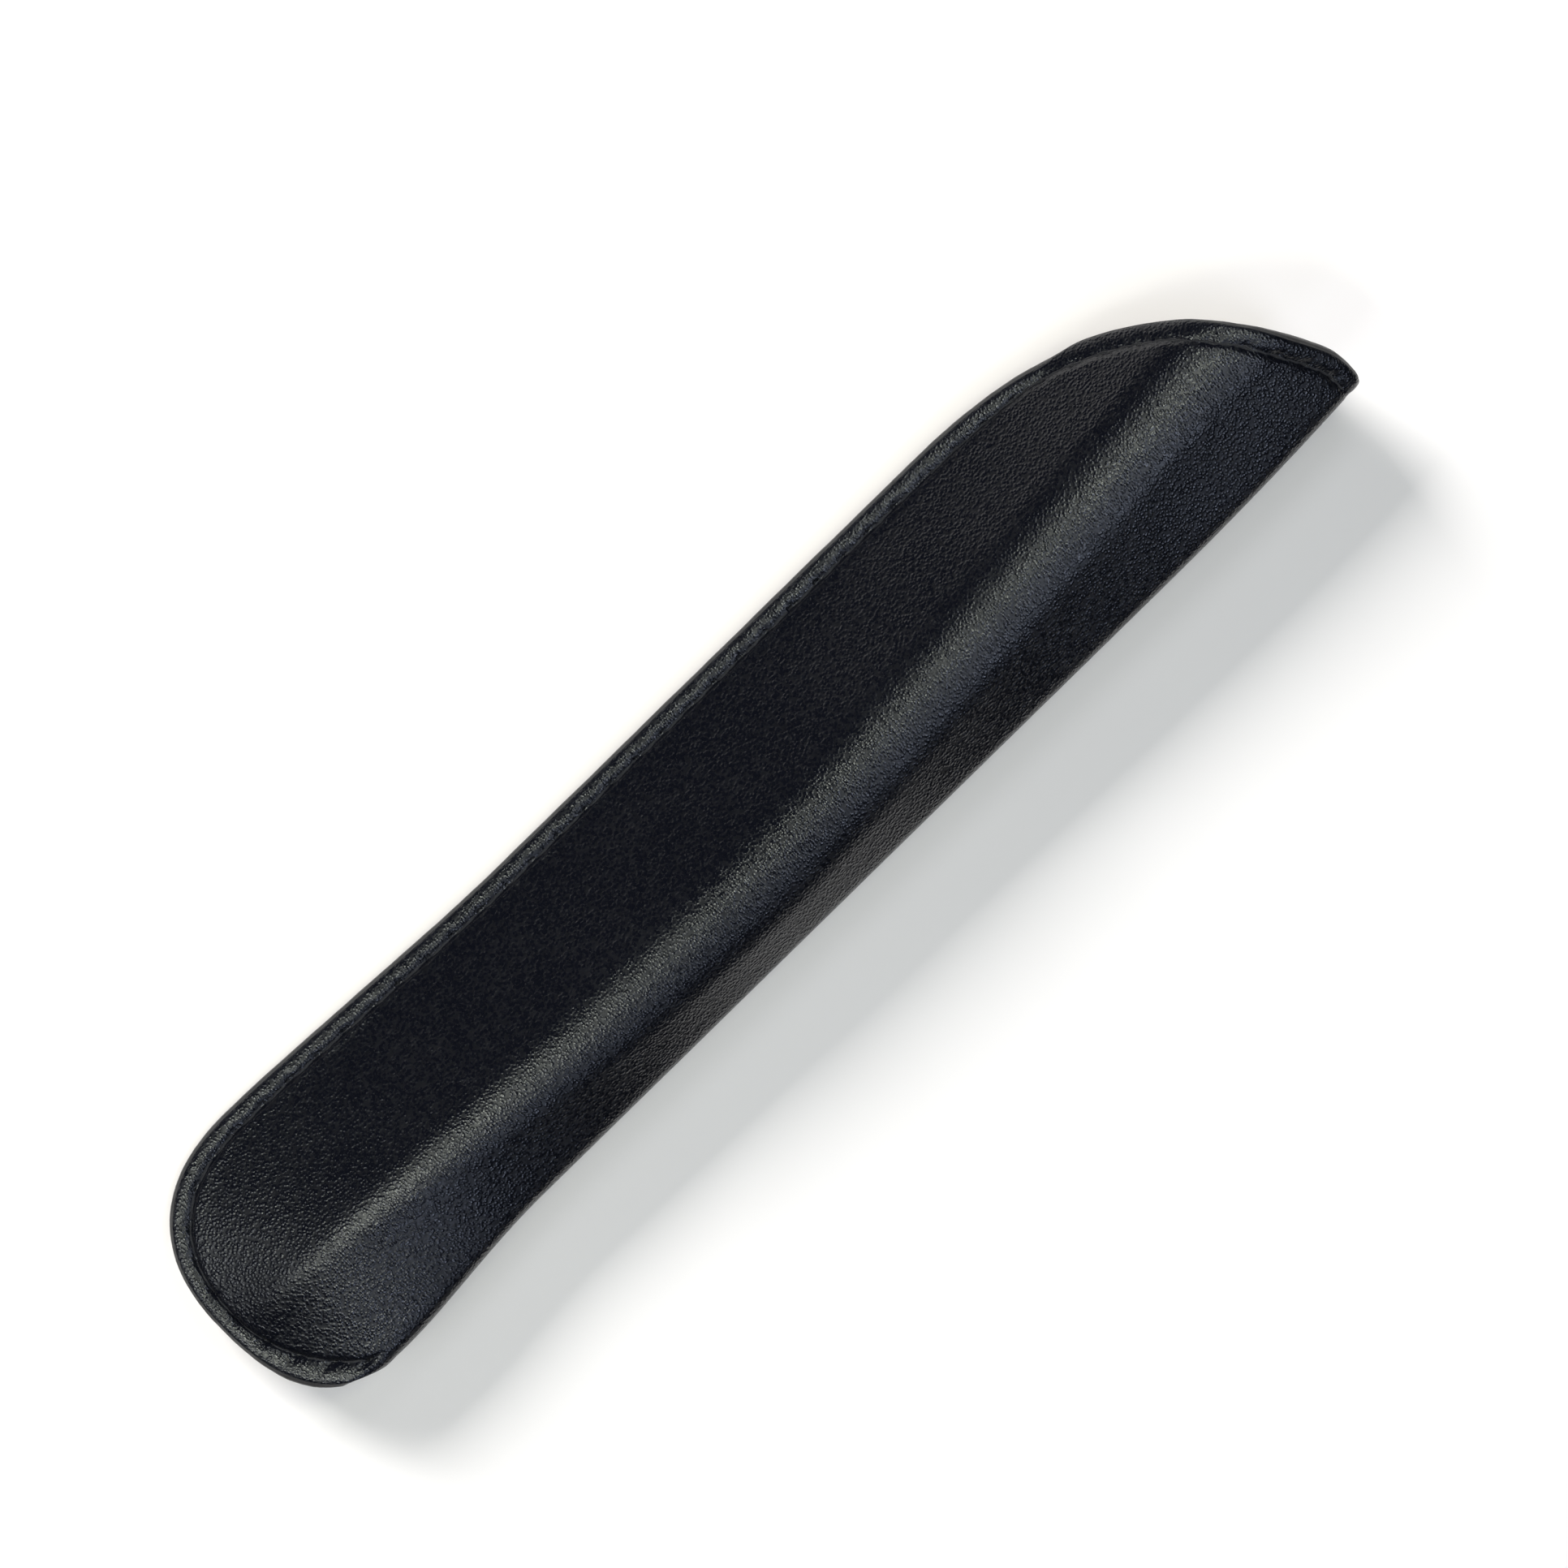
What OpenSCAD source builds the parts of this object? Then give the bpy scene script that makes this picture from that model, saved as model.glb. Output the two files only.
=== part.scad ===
// Single pen sleeve of grained artificial leather, at rest on a table.
// The pattern is folded along one long edge, sewn along the other and round
// the bottom, and cut in a slanting curve at the mouth.
//
// The sleeve's own frame: x is 0 at the fold and falls to the seam, y runs from
// the bottom to the mouth, and w stands out of the plane midway between the
// front and the back panel. lay() turns that frame onto the table.

/* [Sleeve] */
// Length from the bottom edge to the top of the mouth
sleeve_len = 138; // [132:1:144]
// Width from the fold to the seam's edge, over the straight middle
sleeve_w = 24.85; // [24:0.05:26]
// How far the seam side flares out above the bottom
seam_flare = 1.4; // [0.6:0.1:1.8]
// How far the folded side flares out above the bottom
fold_flare = 1.42; // [0.6:0.02:1.6]
// Radius of the round space inside, at the mouth
pocket_r = 6.0; // [5.2:0.1:6.2]
// Inside radius of the fold
fold_r = 0.35; // [0.2:0.05:0.5]

/* [Layers] */
// Thickness of the lining
lining_t = 0.4; // [0.3:0.05:0.5]
// Thickness of the stiffeners between lining and skin
stiffener_t = 0.2; // [0.1:0.05:0.3]
// Thickness of the outer skin
skin_t = 0.8; // [0.6:0.05:1]
// How far the paint stands off the cut edges
paint_t = 0.25; // [0.15:0.05:0.3]

/* [Seams] */
// Distance from the outline to the side and bottom seam
seam_w = 2.0; // [1.8:0.1:2.4]
// Distance from the outline to the stitch row at the mouth
hem_w = 2.1; // [1.8:0.1:2.4]
// Length of one stitch
stitch_pitch = 3.4; // [2.8:0.1:4]
// Diameter of the sewing thread
thread_d = 0.4; // [0.3:0.05:0.5]
// How deep the stitches draw the skin in
groove = 0.25; // [0.1:0.05:0.3]

/* [Rest] */
// How far the sleeve leans over onto its seam, in degrees
lean = 15.1; // [10:0.1:18]
// How far the mouth end is lifted, in degrees
pitch = 1.35; // [1:0.05:1.6]
// How much the back is pressed flat where it lies on the table
press = 0.45; // [0.2:0.05:0.6]

/* [Hidden] */

wall = lining_t + stiffener_t + skin_t;
// the two linings stay this far off the middle plane where they are sewn together
half_gap = 0.04;
// the cut edges are this much lower than the panel, because they are rounded
edge_drop = 0.3;
// over this length the panel turns up out of the seam
turn_up = 0.8;
// the seam side flares out below the first height, fully by the second; so does the fold
seam_flare_y = [50, 12];
fold_flare_y = [30, 8];
// above this height the fold bends in towards the seam, by this much a square millimetre
fold_bend_y = 112;
fold_bend = 0.0013;
// the round space grows to its full radius over this length, from below the bottom
pocket_growth = 24;
pocket_start = -6;
// its middle is nearest to the fold at this height, and further off at the ends
ridge_y = 60;
ridge_x = -8.2;
ridge_to_mouth = 4.2;
ridge_to_bottom = 2.6;
// the pocket closes over this length above the bottom seam
closing_len = 12;
// the side seam ends here, where the mouth's curve begins
seam_top = 102;
mouth_start = 100;
// how fast the two lips part above the seam
lip_rise = 0.028;
// the lowest point of the bottom curve lies here
bottom_x = -12.1;
// height of the centres of the bottom curve on the seam side and the folded side, and
// how square its corners are (2 is an ellipse)
bottom_left_y = 14.6;
bottom_right_y = 10.8;
bottom_right_half = 13.56;
left_square = 2.4;
right_square = 2.45;
// the seam crosses the fold in a wider curve than the cut, a plain ellipse
seam_right_y = 19.4;
seam_right_half = 15.5;
// the mouth's curve would reach its top this far past the fold, after this rise; it is
// blended into the level top over a short length
mouth_far_x = 30;
mouth_rise = 45.5;
mouth_blend = 0.8;
// its two exponents, and how they and the rise change with a millimetre of inset
mouth_bow = [1.96, 0.04];
mouth_full = [2.875, 0.02];
mouth_rise_loss = 1.2;
// heights at which a column's place across is read, near the bottom, seam and mouth
foot_y = 9;
sewn_y = 11;
lip_y = 131;
// height of the middle plane over the table, and the point of it that comes over the origin
rest_height = 6.36;
rest_mid = [-12.56, 68.98];

skin_colour = [0.09, 0.09, 0.11];
lining_colour = [0.16, 0.16, 0.17];
stiffener_colour = [0.55, 0.52, 0.47];
paint_colour = [0.05, 0.05, 0.06];
thread_colour = [0.12, 0.12, 0.14];

// a curve that leaves 0 and reaches 1 level
function smooth(t) = let (c = min(1, max(0, t))) c * c * (3 - 2 * c);
function mix(a, b, t) = a + (b - a) * t;
function unit(v) = v / norm(v);

// outline of the sleeve on the seam side and on the folded side
function flared(y, from_to) = smooth((from_to[0] - y) / (from_to[0] - from_to[1]));
function left_x(y) = -sleeve_w - seam_flare * flared(y, seam_flare_y);
function right_x(y) =
    fold_flare * flared(y, fold_flare_y) - fold_bend * pow(max(0, y - fold_bend_y), 2);
function seam_x(y) = left_x(y) + seam_w;
function cut_x(y) = left_x(y) + paint_t;

// the round space's radius, and where its middle lies across the sleeve
function pocket_radius(y) = pocket_r * (1 - exp((pocket_start - y) / pocket_growth));
function pocket_x(y) =
    ridge_x - ridge_to_mouth * smooth((y - ridge_y) / 80) - ridge_to_bottom * smooth((ridge_y - y) / 60);

// one quarter of a superellipse, hanging under its centre
function hang(x, xc, a, yc, b, n) =
    let (u = min(1, abs(x - xc) / a)) yc - b * pow(max(0, 1 - pow(u, n)), 1 / n);

// the bottom curve and the seam above it
function bottom_y(x) = x < bottom_x
    ? hang(
        x, bottom_x, bottom_x - cut_x(bottom_left_y), bottom_left_y, bottom_left_y - paint_t,
        left_square
    )
    : hang(
        x, bottom_x, bottom_right_half - paint_t, bottom_right_y, bottom_right_y - paint_t,
        right_square
    );
function seam_y(x) = x < bottom_x
    ? hang(
        x, bottom_x, bottom_x - seam_x(bottom_left_y), bottom_left_y, bottom_left_y - seam_w,
        left_square
    )
    : hang(x, bottom_x, seam_right_half, seam_right_y, seam_right_y - seam_w, 2);

// the mouth's curve, drawn in by inset, blended into a level stretch beside the fold
function mouth_y(x, inset) =
    let (
        far = mouth_far_x + sleeve_w - inset,
        u = min(1, max(0, (mouth_far_x - x) / far)),
        bow = mouth_bow[0] + mouth_bow[1] * inset,
        full = mouth_full[0] + mouth_full[1] * inset,
        rise = (mouth_rise - mouth_rise_loss * inset) * pow(1 - pow(u, bow), 1 / full),
        y = mouth_start + rise,
        top = sleeve_len - inset,
        h = min(1, max(0, 0.5 + 0.5 * (top - y) / mouth_blend))
    )
    mix(top, y, h) - mouth_blend * h * (1 - h);

// share of its full height that the pocket has at a point above the bottom seam
function opened(x, y) = 1 - pow(1 - min(1, max(0, (y - seam_y(x)) / closing_len)), 3);

// height of the inside of a panel over the middle plane: flat in the seam, a straight
// web up to the round, the round, and a straight web down to the fold
function inside_w(x, y) =
    let (
        xs = seam_x(y),
        xb = pocket_x(y),
        r = pocket_radius(y),
        xf = right_x(y) - fold_r - wall,
        up = asin(r / (xb - xs - turn_up)),
        down = asin((r - fold_r) / (xf - xb)),
        t = x - xs,
        h = t <= 0 ? 0
            : t < 2 * turn_up ? t * t / (4 * turn_up) * tan(up)
            : x < xb - r * sin(up) ? (t - turn_up) * tan(up)
            : x < xb + r * sin(down) ? sqrt(max(0, r * r - pow(x - xb, 2)))
            : fold_r * cos(down) + (xf + fold_r * sin(down) - x) * tan(down),
        lip = lip_rise * max(0, y - seam_top) * min(1, max(0, (xb - x) / (xb - xs)))
    )
    half_gap + h * opened(x, y) + lip;

// a panel's point at the height d over its inside, with w measured square to the panel
function panel_at(x, y, d) =
    let (
        step = 0.35,
        w = inside_w(x, y),
        sx = (inside_w(x + step, y) - inside_w(x - step, y)) / (2 * step),
        sy = (inside_w(x, y + step) - inside_w(x, y - step)) / (2 * step)
    )
    [x, y, w] + d * unit([-sx, -sy, 1]);

// the fold: an arc round its own centre line, pressed together at the bottom
function fold_open(y) = opened(right_x(y) - fold_r - wall, y);
function fold_x(y) = right_x(y) - fold_r - wall;
function fold_radius(y) = mix(half_gap, fold_r, fold_open(y));
function fold_slope(y) =
    atan(fold_open(y) * tan(asin((pocket_radius(y) - fold_r) / (fold_x(y) - pocket_x(y)))));
function fold_end(y) = fold_x(y) + fold_radius(y) * sin(fold_slope(y));
function fold_at(a, y, d) = [fold_x(y), y, 0] + (fold_radius(y) + d) * [cos(a), 0, sin(a)];

// a column code c: 0 to 1 crosses the seam's edge, 1 to 2 the panel, 2 to 3 half of the fold
function column_x(c, y) =
    c <= 1 ? mix(cut_x(y), seam_x(y), c)
    : c < 2 ? mix(seam_x(y), fold_end(y), c - 1)
    : fold_x(y) + (fold_radius(y) + wall) * cos((90 - fold_slope(y)) * (3 - c));
function front_at(c, y, d) =
    c < 2 ? panel_at(column_x(c, y), y, d) : fold_at((90 - fold_slope(y)) * (3 - c), y, d);

// turns a point of the sleeve onto the table; rise is its depth under the outer face,
// which is pressed flat where it would pass through the table
function turn(p) =
    let (
        x1 = p[0] * cos(lean) - p[2] * sin(lean),
        z1 = p[0] * sin(lean) + p[2] * cos(lean)
    )
    [x1, p[1] * cos(pitch) - z1 * sin(pitch), z1 * cos(pitch) + p[1] * sin(pitch)];
function lay(p, rise) =
    let (q = turn([p[0] - rest_mid[0], p[1] - rest_mid[1], p[2]]))
    [q[0], q[1], max(q[2] + rest_height - press, rise)];
function flip(p, side) = [p[0], p[1], side * p[2]];

// the grid of a panel: its columns from the seam's edge to the fold, and its rows
COLUMNS = [
    0, 0.03, 0.12, 0.3, 0.6, 1, 1.035, 1.09, 1.2, 1.3, 1.37, 1.44, 1.51, 1.58, 1.65,
    1.72, 1.79, 1.86, 1.93, 2, 2.35, 2.7, 3
];
MAIN_ROWS = [
    0, 0.012, 0.03, 0.055, 0.09, 0.14, 0.2, 0.28, 0.37, 0.46, 0.56, 0.66, 0.76, 0.85, 0.93,
    0.98, 1
];
MOUTH_ROWS = [0.35, 0.7, 1];
ROWS = [for (k = [0, 0.5]) [0, k], for (k = MAIN_ROWS) [1, k], for (k = MOUTH_ROWS) [2, k]];
SEAM_ROW = 2;
HEM_ROW = SEAM_ROW + len(MAIN_ROWS) - 1;
LAST_ROW = len(ROWS) - 1;

// where the rows of a column begin and end; beside the seam they cross its edge slantwise
function column_low(c) = bottom_y(column_x(c, foot_y));
function column_seam(c) = c < 1
    ? bottom_left_y + seam_w * (1 - c)
    : seam_y(column_x(c, c < 2 ? foot_y : sewn_y));
function column_hem(c) =
    c < 1 ? mouth_start - hem_w * (1 - c) : mouth_y(column_x(c, lip_y), hem_w);
function column_top(c) = mouth_y(column_x(c, lip_y), paint_t);
function row_y(c, row) =
    row[0] == 0 ? mix(column_low(c), column_seam(c), row[1])
    : row[0] == 1 ? mix(column_seam(c), column_hem(c), row[1])
    : mix(column_hem(c), column_top(c), row[1]);

// how much lower the skin's outer face is at a point of the grid
function sunk(i, c) =
    (i == 0 || i == LAST_ROW || c == 0) ? edge_drop
    : ((i == SEAM_ROW || i == HEM_ROW) && c >= 1) || (c == 1 && i > SEAM_ROW && i < HEM_ROW) ? groove
    : 0;

// a closed sheet between the heights low and high, over a list of [column, side]
function sheet_points(low, high, spots, sink) = [
    for (face = [0, 1])
        for (i = [0:LAST_ROW])
            for (s = spots)
                let (
                    y = row_y(s[0], ROWS[i]),
                    d = face == 0 ? low : high - (sink ? sunk(i, s[0]) : 0)
                )
                lay(flip(front_at(s[0], y, d), s[1]), wall - (face == 0 ? low : high))
];
function sheet_faces(rows, cols) =
    let (
        n = rows * cols,
        id = function(f, i, j) f * n + i * cols + j
    )
    [
        for (i = [0:rows - 2])
            for (j = [0:cols - 2])
                each [
                    [id(0, i, j), id(0, i + 1, j + 1), id(0, i + 1, j)],
                    [id(0, i, j), id(0, i, j + 1), id(0, i + 1, j + 1)],
                    [id(1, i, j), id(1, i + 1, j), id(1, i + 1, j + 1)],
                    [id(1, i, j), id(1, i + 1, j + 1), id(1, i, j + 1)]
                ],
        for (j = [0:cols - 2])
            each [
                [id(0, 0, j), id(1, 0, j + 1), id(0, 0, j + 1)],
                [id(0, 0, j), id(1, 0, j), id(1, 0, j + 1)],
                [id(0, rows - 1, j), id(1, rows - 1, j + 1), id(1, rows - 1, j)],
                [id(0, rows - 1, j), id(0, rows - 1, j + 1), id(1, rows - 1, j + 1)]
            ],
        for (i = [0:rows - 2])
            each [
                [id(0, i, 0), id(1, i + 1, 0), id(1, i, 0)],
                [id(0, i, 0), id(0, i + 1, 0), id(1, i + 1, 0)],
                [id(0, i, cols - 1), id(1, i, cols - 1), id(1, i + 1, cols - 1)],
                [id(0, i, cols - 1), id(1, i + 1, cols - 1), id(0, i + 1, cols - 1)]
            ]
    ];
function reversed(list) = [for (i = [len(list) - 1:-1:0]) list[i]];
// both panels, joined by the fold
WHOLE = concat(
    [for (c = COLUMNS) [c, 1]],
    [for (i = [len(COLUMNS) - 2:-1:0]) [COLUMNS[i], -1]]
);
module sheet(low, high, spots, sink = false) {
    polyhedron(
        points = sheet_points(low, high, spots, sink),
        faces = sheet_faces(len(ROWS), len(spots)),
        convexity = 6
    );
}
// a stiffener's columns stop short of the cut edge and of the fold
STIFF_COLUMNS = [for (c = COLUMNS) if (c > 0.1 && c < 2) c];

// a tube through rings of points, closed at both ends
module skin_rings(rings) {
    n = len(rings[0]);
    last = len(rings) - 1;
    polyhedron(
        points = [for (ring = rings) each ring],
        faces = [
            [for (k = [0:n - 1]) k],
            [for (k = [n - 1:-1:0]) last * n + k],
            for (i = [0:last - 1])
                for (k = [0:n - 1])
                    each [
                        [i * n + k, (i + 1) * n + k, (i + 1) * n + (k + 1) % n],
                        [i * n + k, (i + 1) * n + (k + 1) % n, i * n + (k + 1) % n]
                    ]
        ],
        convexity = 10
    );
}

// the cut edge as the grid has it, from the top of the side seam down and round to the
// fold: [x, y, half the thickness of the folded edge there]
edge_half = half_gap + wall - edge_drop;
SIDE_PATH = concat(
    [for (i = [LAST_ROW:-1:1]) let (y = row_y(0, ROWS[i])) [cut_x(y), y, edge_half]],
    [
        for (c = COLUMNS)
            let (
                y = column_low(c),
                a = (90 - fold_slope(y)) * (3 - c),
                out = fold_radius(y) + wall - edge_drop
            )
            c < 2 ? [column_x(c, y), y, edge_half]
            : [fold_x(y) + out * cos(a), y, max(0.1, out * sin(a))]
    ]
);
function flat_part(v) = [v[0], v[1]];
function path_heading(path, i) =
    unit(flat_part(path[min(len(path) - 1, i + 1)]) - flat_part(path[max(0, i - 1)]));
// a rounded profile, as [share of the paint's stand, share of the edge's half thickness]
BEAD = [[0, 1], [0.55, 0.85], [1, 0.35], [1, -0.35], [0.55, -0.85], [0, -1]];

// a point of the mouth's cut edge, at the height d over the inside, moved out by reach
function lip_at(c, d, reach) =
    let (
        y = column_top(c),
        x = column_x(c, y),
        ahead = mouth_y(x + 0.02, paint_t) - mouth_y(x - 0.02, paint_t),
        out = unit([-ahead, 0.04])
    )
    c < 2
        ? panel_at(x + out[0] * reach, y + out[1] * reach, d)
        : front_at(c, y + reach, d);

// the row of the side seam, as points of the middle plane
SEAM_PATH = concat(
    [for (k = [0:19]) let (y = mix(seam_top, bottom_left_y, k / 20)) [seam_x(y), y]],
    [
        for (k = [0:15])
            let (t = 6 * k, half = bottom_x - seam_x(bottom_left_y), drop = bottom_left_y - seam_w)
            [
                bottom_x - half * pow(max(0, cos(t)), 2 / left_square),
                bottom_left_y - drop * pow(sin(t), 2 / left_square)
            ]
    ],
    [for (k = [1:12]) let (x = mix(bottom_x, fold_x(foot_y), k / 12)) [x, seam_y(x)]]
);
function run_lengths(path, i = 1, done = [0]) =
    i == len(path) ? done
    : run_lengths(path, i + 1, concat(done, done[i - 1] + norm(path[i] - path[i - 1])));
SEAM_RUN = run_lengths(SEAM_PATH);
SEAM_LEN = SEAM_RUN[len(SEAM_RUN) - 1];
SEAM_XS = [for (i = [0:len(SEAM_PATH) - 1]) [SEAM_RUN[i], SEAM_PATH[i][0]]];
SEAM_YS = [for (i = [0:len(SEAM_PATH) - 1]) [SEAM_RUN[i], SEAM_PATH[i][1]]];
function seam_spot(s) = [lookup(s, SEAM_XS), lookup(s, SEAM_YS)];

// the stitch row of the mouth, by a running share u from -1 on the front to 1 on the back;
// on a panel it is spaced by cubes, because the curve starts out upright at the seam
hem_on_panel = 0.93;
function hem_at(a, d) =
    a < hem_on_panel
        ? let (x = mix(left_x(mouth_start) + hem_w, fold_end(lip_y), pow(a / hem_on_panel, 3)))
            panel_at(x, mouth_y(x, hem_w), d)
        : let (c = 2 + (a - hem_on_panel) / (1 - hem_on_panel)) front_at(c, column_hem(c), d);
function hem_point(u, d) = flip(hem_at(1 - abs(u), d), u <= 0 ? 1 : -1);
HEM_DENSE = 120;
HEM_FROM = -0.92;
HEM_US = [for (k = [0:HEM_DENSE]) mix(HEM_FROM, -HEM_FROM, k / HEM_DENSE)];
HEM_RUN = run_lengths([for (u = HEM_US) hem_point(u, wall)]);
HEM_LEN = HEM_RUN[HEM_DENSE];
HEM_TABLE = [for (k = [0:HEM_DENSE]) [HEM_RUN[k], HEM_US[k]]];

// one stitch as [share along it, share of the crown's height over the hole's bottom]
STITCH = [[0, 0], [0.13, 0.8], [0.5, 1], [0.87, 0.8]];
THREAD_SIDES = 6;
function stitch_stops(count) = concat(
    [for (i = [0:count - 1]) each [for (p = STITCH) [(i + p[0]) / count, p[1]]]],
    [[1, 0]]
);
// rings round a thread whose points and crosswise directions are given
function thread_rings(points, across) = [
    for (i = [0:len(points) - 1])
        let (
            ahead = unit(points[min(len(points) - 1, i + 1)] - points[max(0, i - 1)]),
            side = unit(across[i] - (across[i] * ahead) * ahead),
            up = cross(ahead, side)
        )
        [
            for (k = [0:THREAD_SIDES - 1])
                let (a = 360 * k / THREAD_SIDES)
                points[i] + thread_d / 2 * (cos(a) * side + sin(a) * up)
        ]
];

// a thread of the side seam, on the front (side 1) or the back (side -1)
module side_thread(side) {
    count = round(SEAM_LEN / stitch_pitch);
    stops = stitch_stops(count);
    low = half_gap + thread_d / 2 + 0.03;
    high = half_gap + wall - groove + thread_d / 4;
    points = [
        for (p = stops)
            let (at = seam_spot(p[0] * SEAM_LEN))
                lay([at[0], at[1], side * mix(low, high, p[1])], thread_d / 2)
    ];
    across = [
        for (p = stops)
            let (
                s = p[0] * SEAM_LEN,
                run = seam_spot(min(SEAM_LEN, s + 0.5)) - seam_spot(max(0, s - 0.5))
            )
            side * turn([-run[1], run[0], 0])
    ];
    skin_rings(thread_rings(points, across));
}

// a thread of the mouth's row, on the outside or on the lining
module hem_thread(outside) {
    count = round(HEM_LEN / stitch_pitch);
    stops = stitch_stops(count);
    middle = wall / 2 + (outside ? 1 : -1) * (thread_d / 2 + 0.03);
    crown = outside ? wall - groove + thread_d / 4 : -thread_d / 4;
    at = function(s, d) hem_point(lookup(s, HEM_TABLE), d);
    points = [for (p = stops) lay(at(p[0] * HEM_LEN, mix(middle, crown, p[1])), thread_d / 2)];
    across = [
        for (p = stops)
            let (
                s = p[0] * HEM_LEN,
                run = at(min(HEM_LEN, s + 0.3), wall) - at(max(0, s - 0.3), wall),
                out = at(s, wall) - at(s, 0)
            )
            turn(cross(run, out))
    ];
    skin_rings(thread_rings(points, across));
}

module outer_skin() {
    color(skin_colour) sheet(wall - skin_t, wall, WHOLE, sink = true);
}
module lining() {
    color(lining_colour) sheet(0, lining_t, WHOLE);
}
module stiffener_front() {
    color(stiffener_colour)
        sheet(lining_t, lining_t + stiffener_t, [for (c = STIFF_COLUMNS) [c, 1]]);
}
module stiffener_back() {
    color(stiffener_colour)
        sheet(lining_t, lining_t + stiffener_t, [for (c = reversed(STIFF_COLUMNS)) [c, -1]]);
}
module side_edge_paint() {
    color(paint_colour)
        skin_rings([
            for (i = [0:len(SIDE_PATH) - 1])
                let (
                    at = SIDE_PATH[i],
                    run = path_heading(SIDE_PATH, i),
                    out = [run[1], -run[0]]
                )
                [
                    for (b = BEAD)
                        let (q = flat_part(at) + b[0] * paint_t * out)
                        lay([q[0], q[1], b[1] * at[2]], 0)
                ]
        ]);
}
module mouth_edge_paint() {
    middle = (wall - edge_drop) / 2;
    color(paint_colour)
        skin_rings([
            for (s = reversed(WHOLE))
                [
                    for (b = BEAD)
                        let (d = middle * (1 + b[1]))
                        lay(flip(lip_at(s[0], d, b[0] * paint_t), s[1]), wall - d)
                ]
        ]);
}
module side_seam_needle_thread() {
    color(thread_colour) side_thread(1);
}
module side_seam_bobbin_thread() {
    color(thread_colour) side_thread(-1);
}
module mouth_needle_thread() {
    color(thread_colour) hem_thread(true);
}
module mouth_bobbin_thread() {
    color(thread_colour) hem_thread(false);
}

outer_skin();
lining();
stiffener_front();
stiffener_back();
side_edge_paint();
mouth_edge_paint();
side_seam_needle_thread();
side_seam_bobbin_thread();
mouth_needle_thread();
mouth_bobbin_thread();
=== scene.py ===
"""Looks of the single pen sleeve: grained skin, lining, stiffeners, painted edges and stitching.

Every piece is worked out in the sleeve's own frame, in millimetres: x is 0 at the fold and falls
to the seam, y runs from the bottom to the mouth, and w stands out of the plane midway between the
two panels. lay() turns that frame onto the table, where the solids of the frame are.
"""

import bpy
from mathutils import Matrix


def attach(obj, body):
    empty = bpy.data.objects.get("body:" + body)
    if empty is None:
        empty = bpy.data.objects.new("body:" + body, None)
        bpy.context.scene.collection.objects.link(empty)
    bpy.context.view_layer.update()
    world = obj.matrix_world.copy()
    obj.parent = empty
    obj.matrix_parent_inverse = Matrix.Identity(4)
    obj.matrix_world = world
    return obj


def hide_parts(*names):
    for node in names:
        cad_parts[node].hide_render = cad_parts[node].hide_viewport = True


bl_info = {
    "name": "Pen sleeve",
    "version": (1, 0, 0),
    "blender": (4, 5, 0),
    "location": "View3D > Sidebar > Sleeve",
    "description": "Builds a slim folded and sewn sleeve of grained artificial leather",
    "category": "Add Mesh",
}

import math

import bmesh
import bpy
import numpy as np
from bpy.props import FloatProperty, FloatVectorProperty, PointerProperty
from mathutils import Matrix, Vector

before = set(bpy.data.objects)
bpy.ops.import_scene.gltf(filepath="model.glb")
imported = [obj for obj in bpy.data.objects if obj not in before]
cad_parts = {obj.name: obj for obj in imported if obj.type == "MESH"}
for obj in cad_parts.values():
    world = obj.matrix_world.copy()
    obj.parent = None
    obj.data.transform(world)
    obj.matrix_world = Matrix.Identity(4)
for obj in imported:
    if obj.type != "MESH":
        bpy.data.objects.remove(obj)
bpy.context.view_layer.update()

MM = 0.001

# Form of the sleeve in millimetres, and how it leans and pitches on the table
SLEEVE_LEN = 138.0
SLEEVE_W = 24.85
SEAM_FLARE = 1.4
SEAM_FLARE_Y = (50.0, 12.0)
FOLD_FLARE = 1.42
FOLD_FLARE_Y = (30.0, 8.0)
FOLD_BEND_Y = 112.0
FOLD_BEND = 0.0013
FOLD_R = 0.35
POCKET_R = 6.0
POCKET_GROWTH = 24.0
POCKET_START = -6.0
RIDGE_Y = 60.0
RIDGE_X = -8.2
RIDGE_TO_MOUTH = 4.2
RIDGE_MOUTH_LEN = 80.0
RIDGE_TO_BOTTOM = 2.6
RIDGE_BOTTOM_LEN = 60.0
LINING_T = 0.4
STIFFENER_T = 0.2
WALL = 1.4
PAINT_T = 0.25
SEAM_W = 2.0
HEM_W = 2.1
HALF_GAP = 0.04
TURN_UP = 0.8
CLOSING_LEN = 12.0
SEAM_TOP = 102.0
MOUTH_START = 100.0
LIP_RISE = 0.028
BOTTOM_X = -12.1
BOTTOM_LEFT_Y = 14.6
BOTTOM_RIGHT_Y = 10.8
BOTTOM_RIGHT_HALF = 13.56
LEFT_SQUARE = 2.4
RIGHT_SQUARE = 2.45
SEAM_RIGHT_Y = 19.4
SEAM_RIGHT_HALF = 15.5
MOUTH_FAR_X = 30.0
MOUTH_RISE = 45.5
MOUTH_RISE_LOSS = 1.2
MOUTH_BLEND = 0.8
MOUTH_BOW = (1.96, 0.04)
MOUTH_FULL = (2.875, 0.02)
LEAN = math.radians(15.1)
PITCH = math.radians(1.35)
PRESS = 0.45
REST_HEIGHT = 6.36
REST_MID = (-12.56, 68.98)

# The hem's stitches begin this far up, just over the top of the side seam
HEM_START_Y = 103.1
# The bottom curve's corner is split at this angle, and the mouth's curve at this share
CORNER_SPLIT = math.pi / 4
MOUTH_SPLIT = 0.71
# Points of the outline's stretches before they are set in equal steps, and of the hem's row over
# half the fold
OUTLINE_POINTS = 300
CORNER_STEPS = 600
MOUTH_STEPS = 900
HEM_FOLD_POINTS = 40
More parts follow.
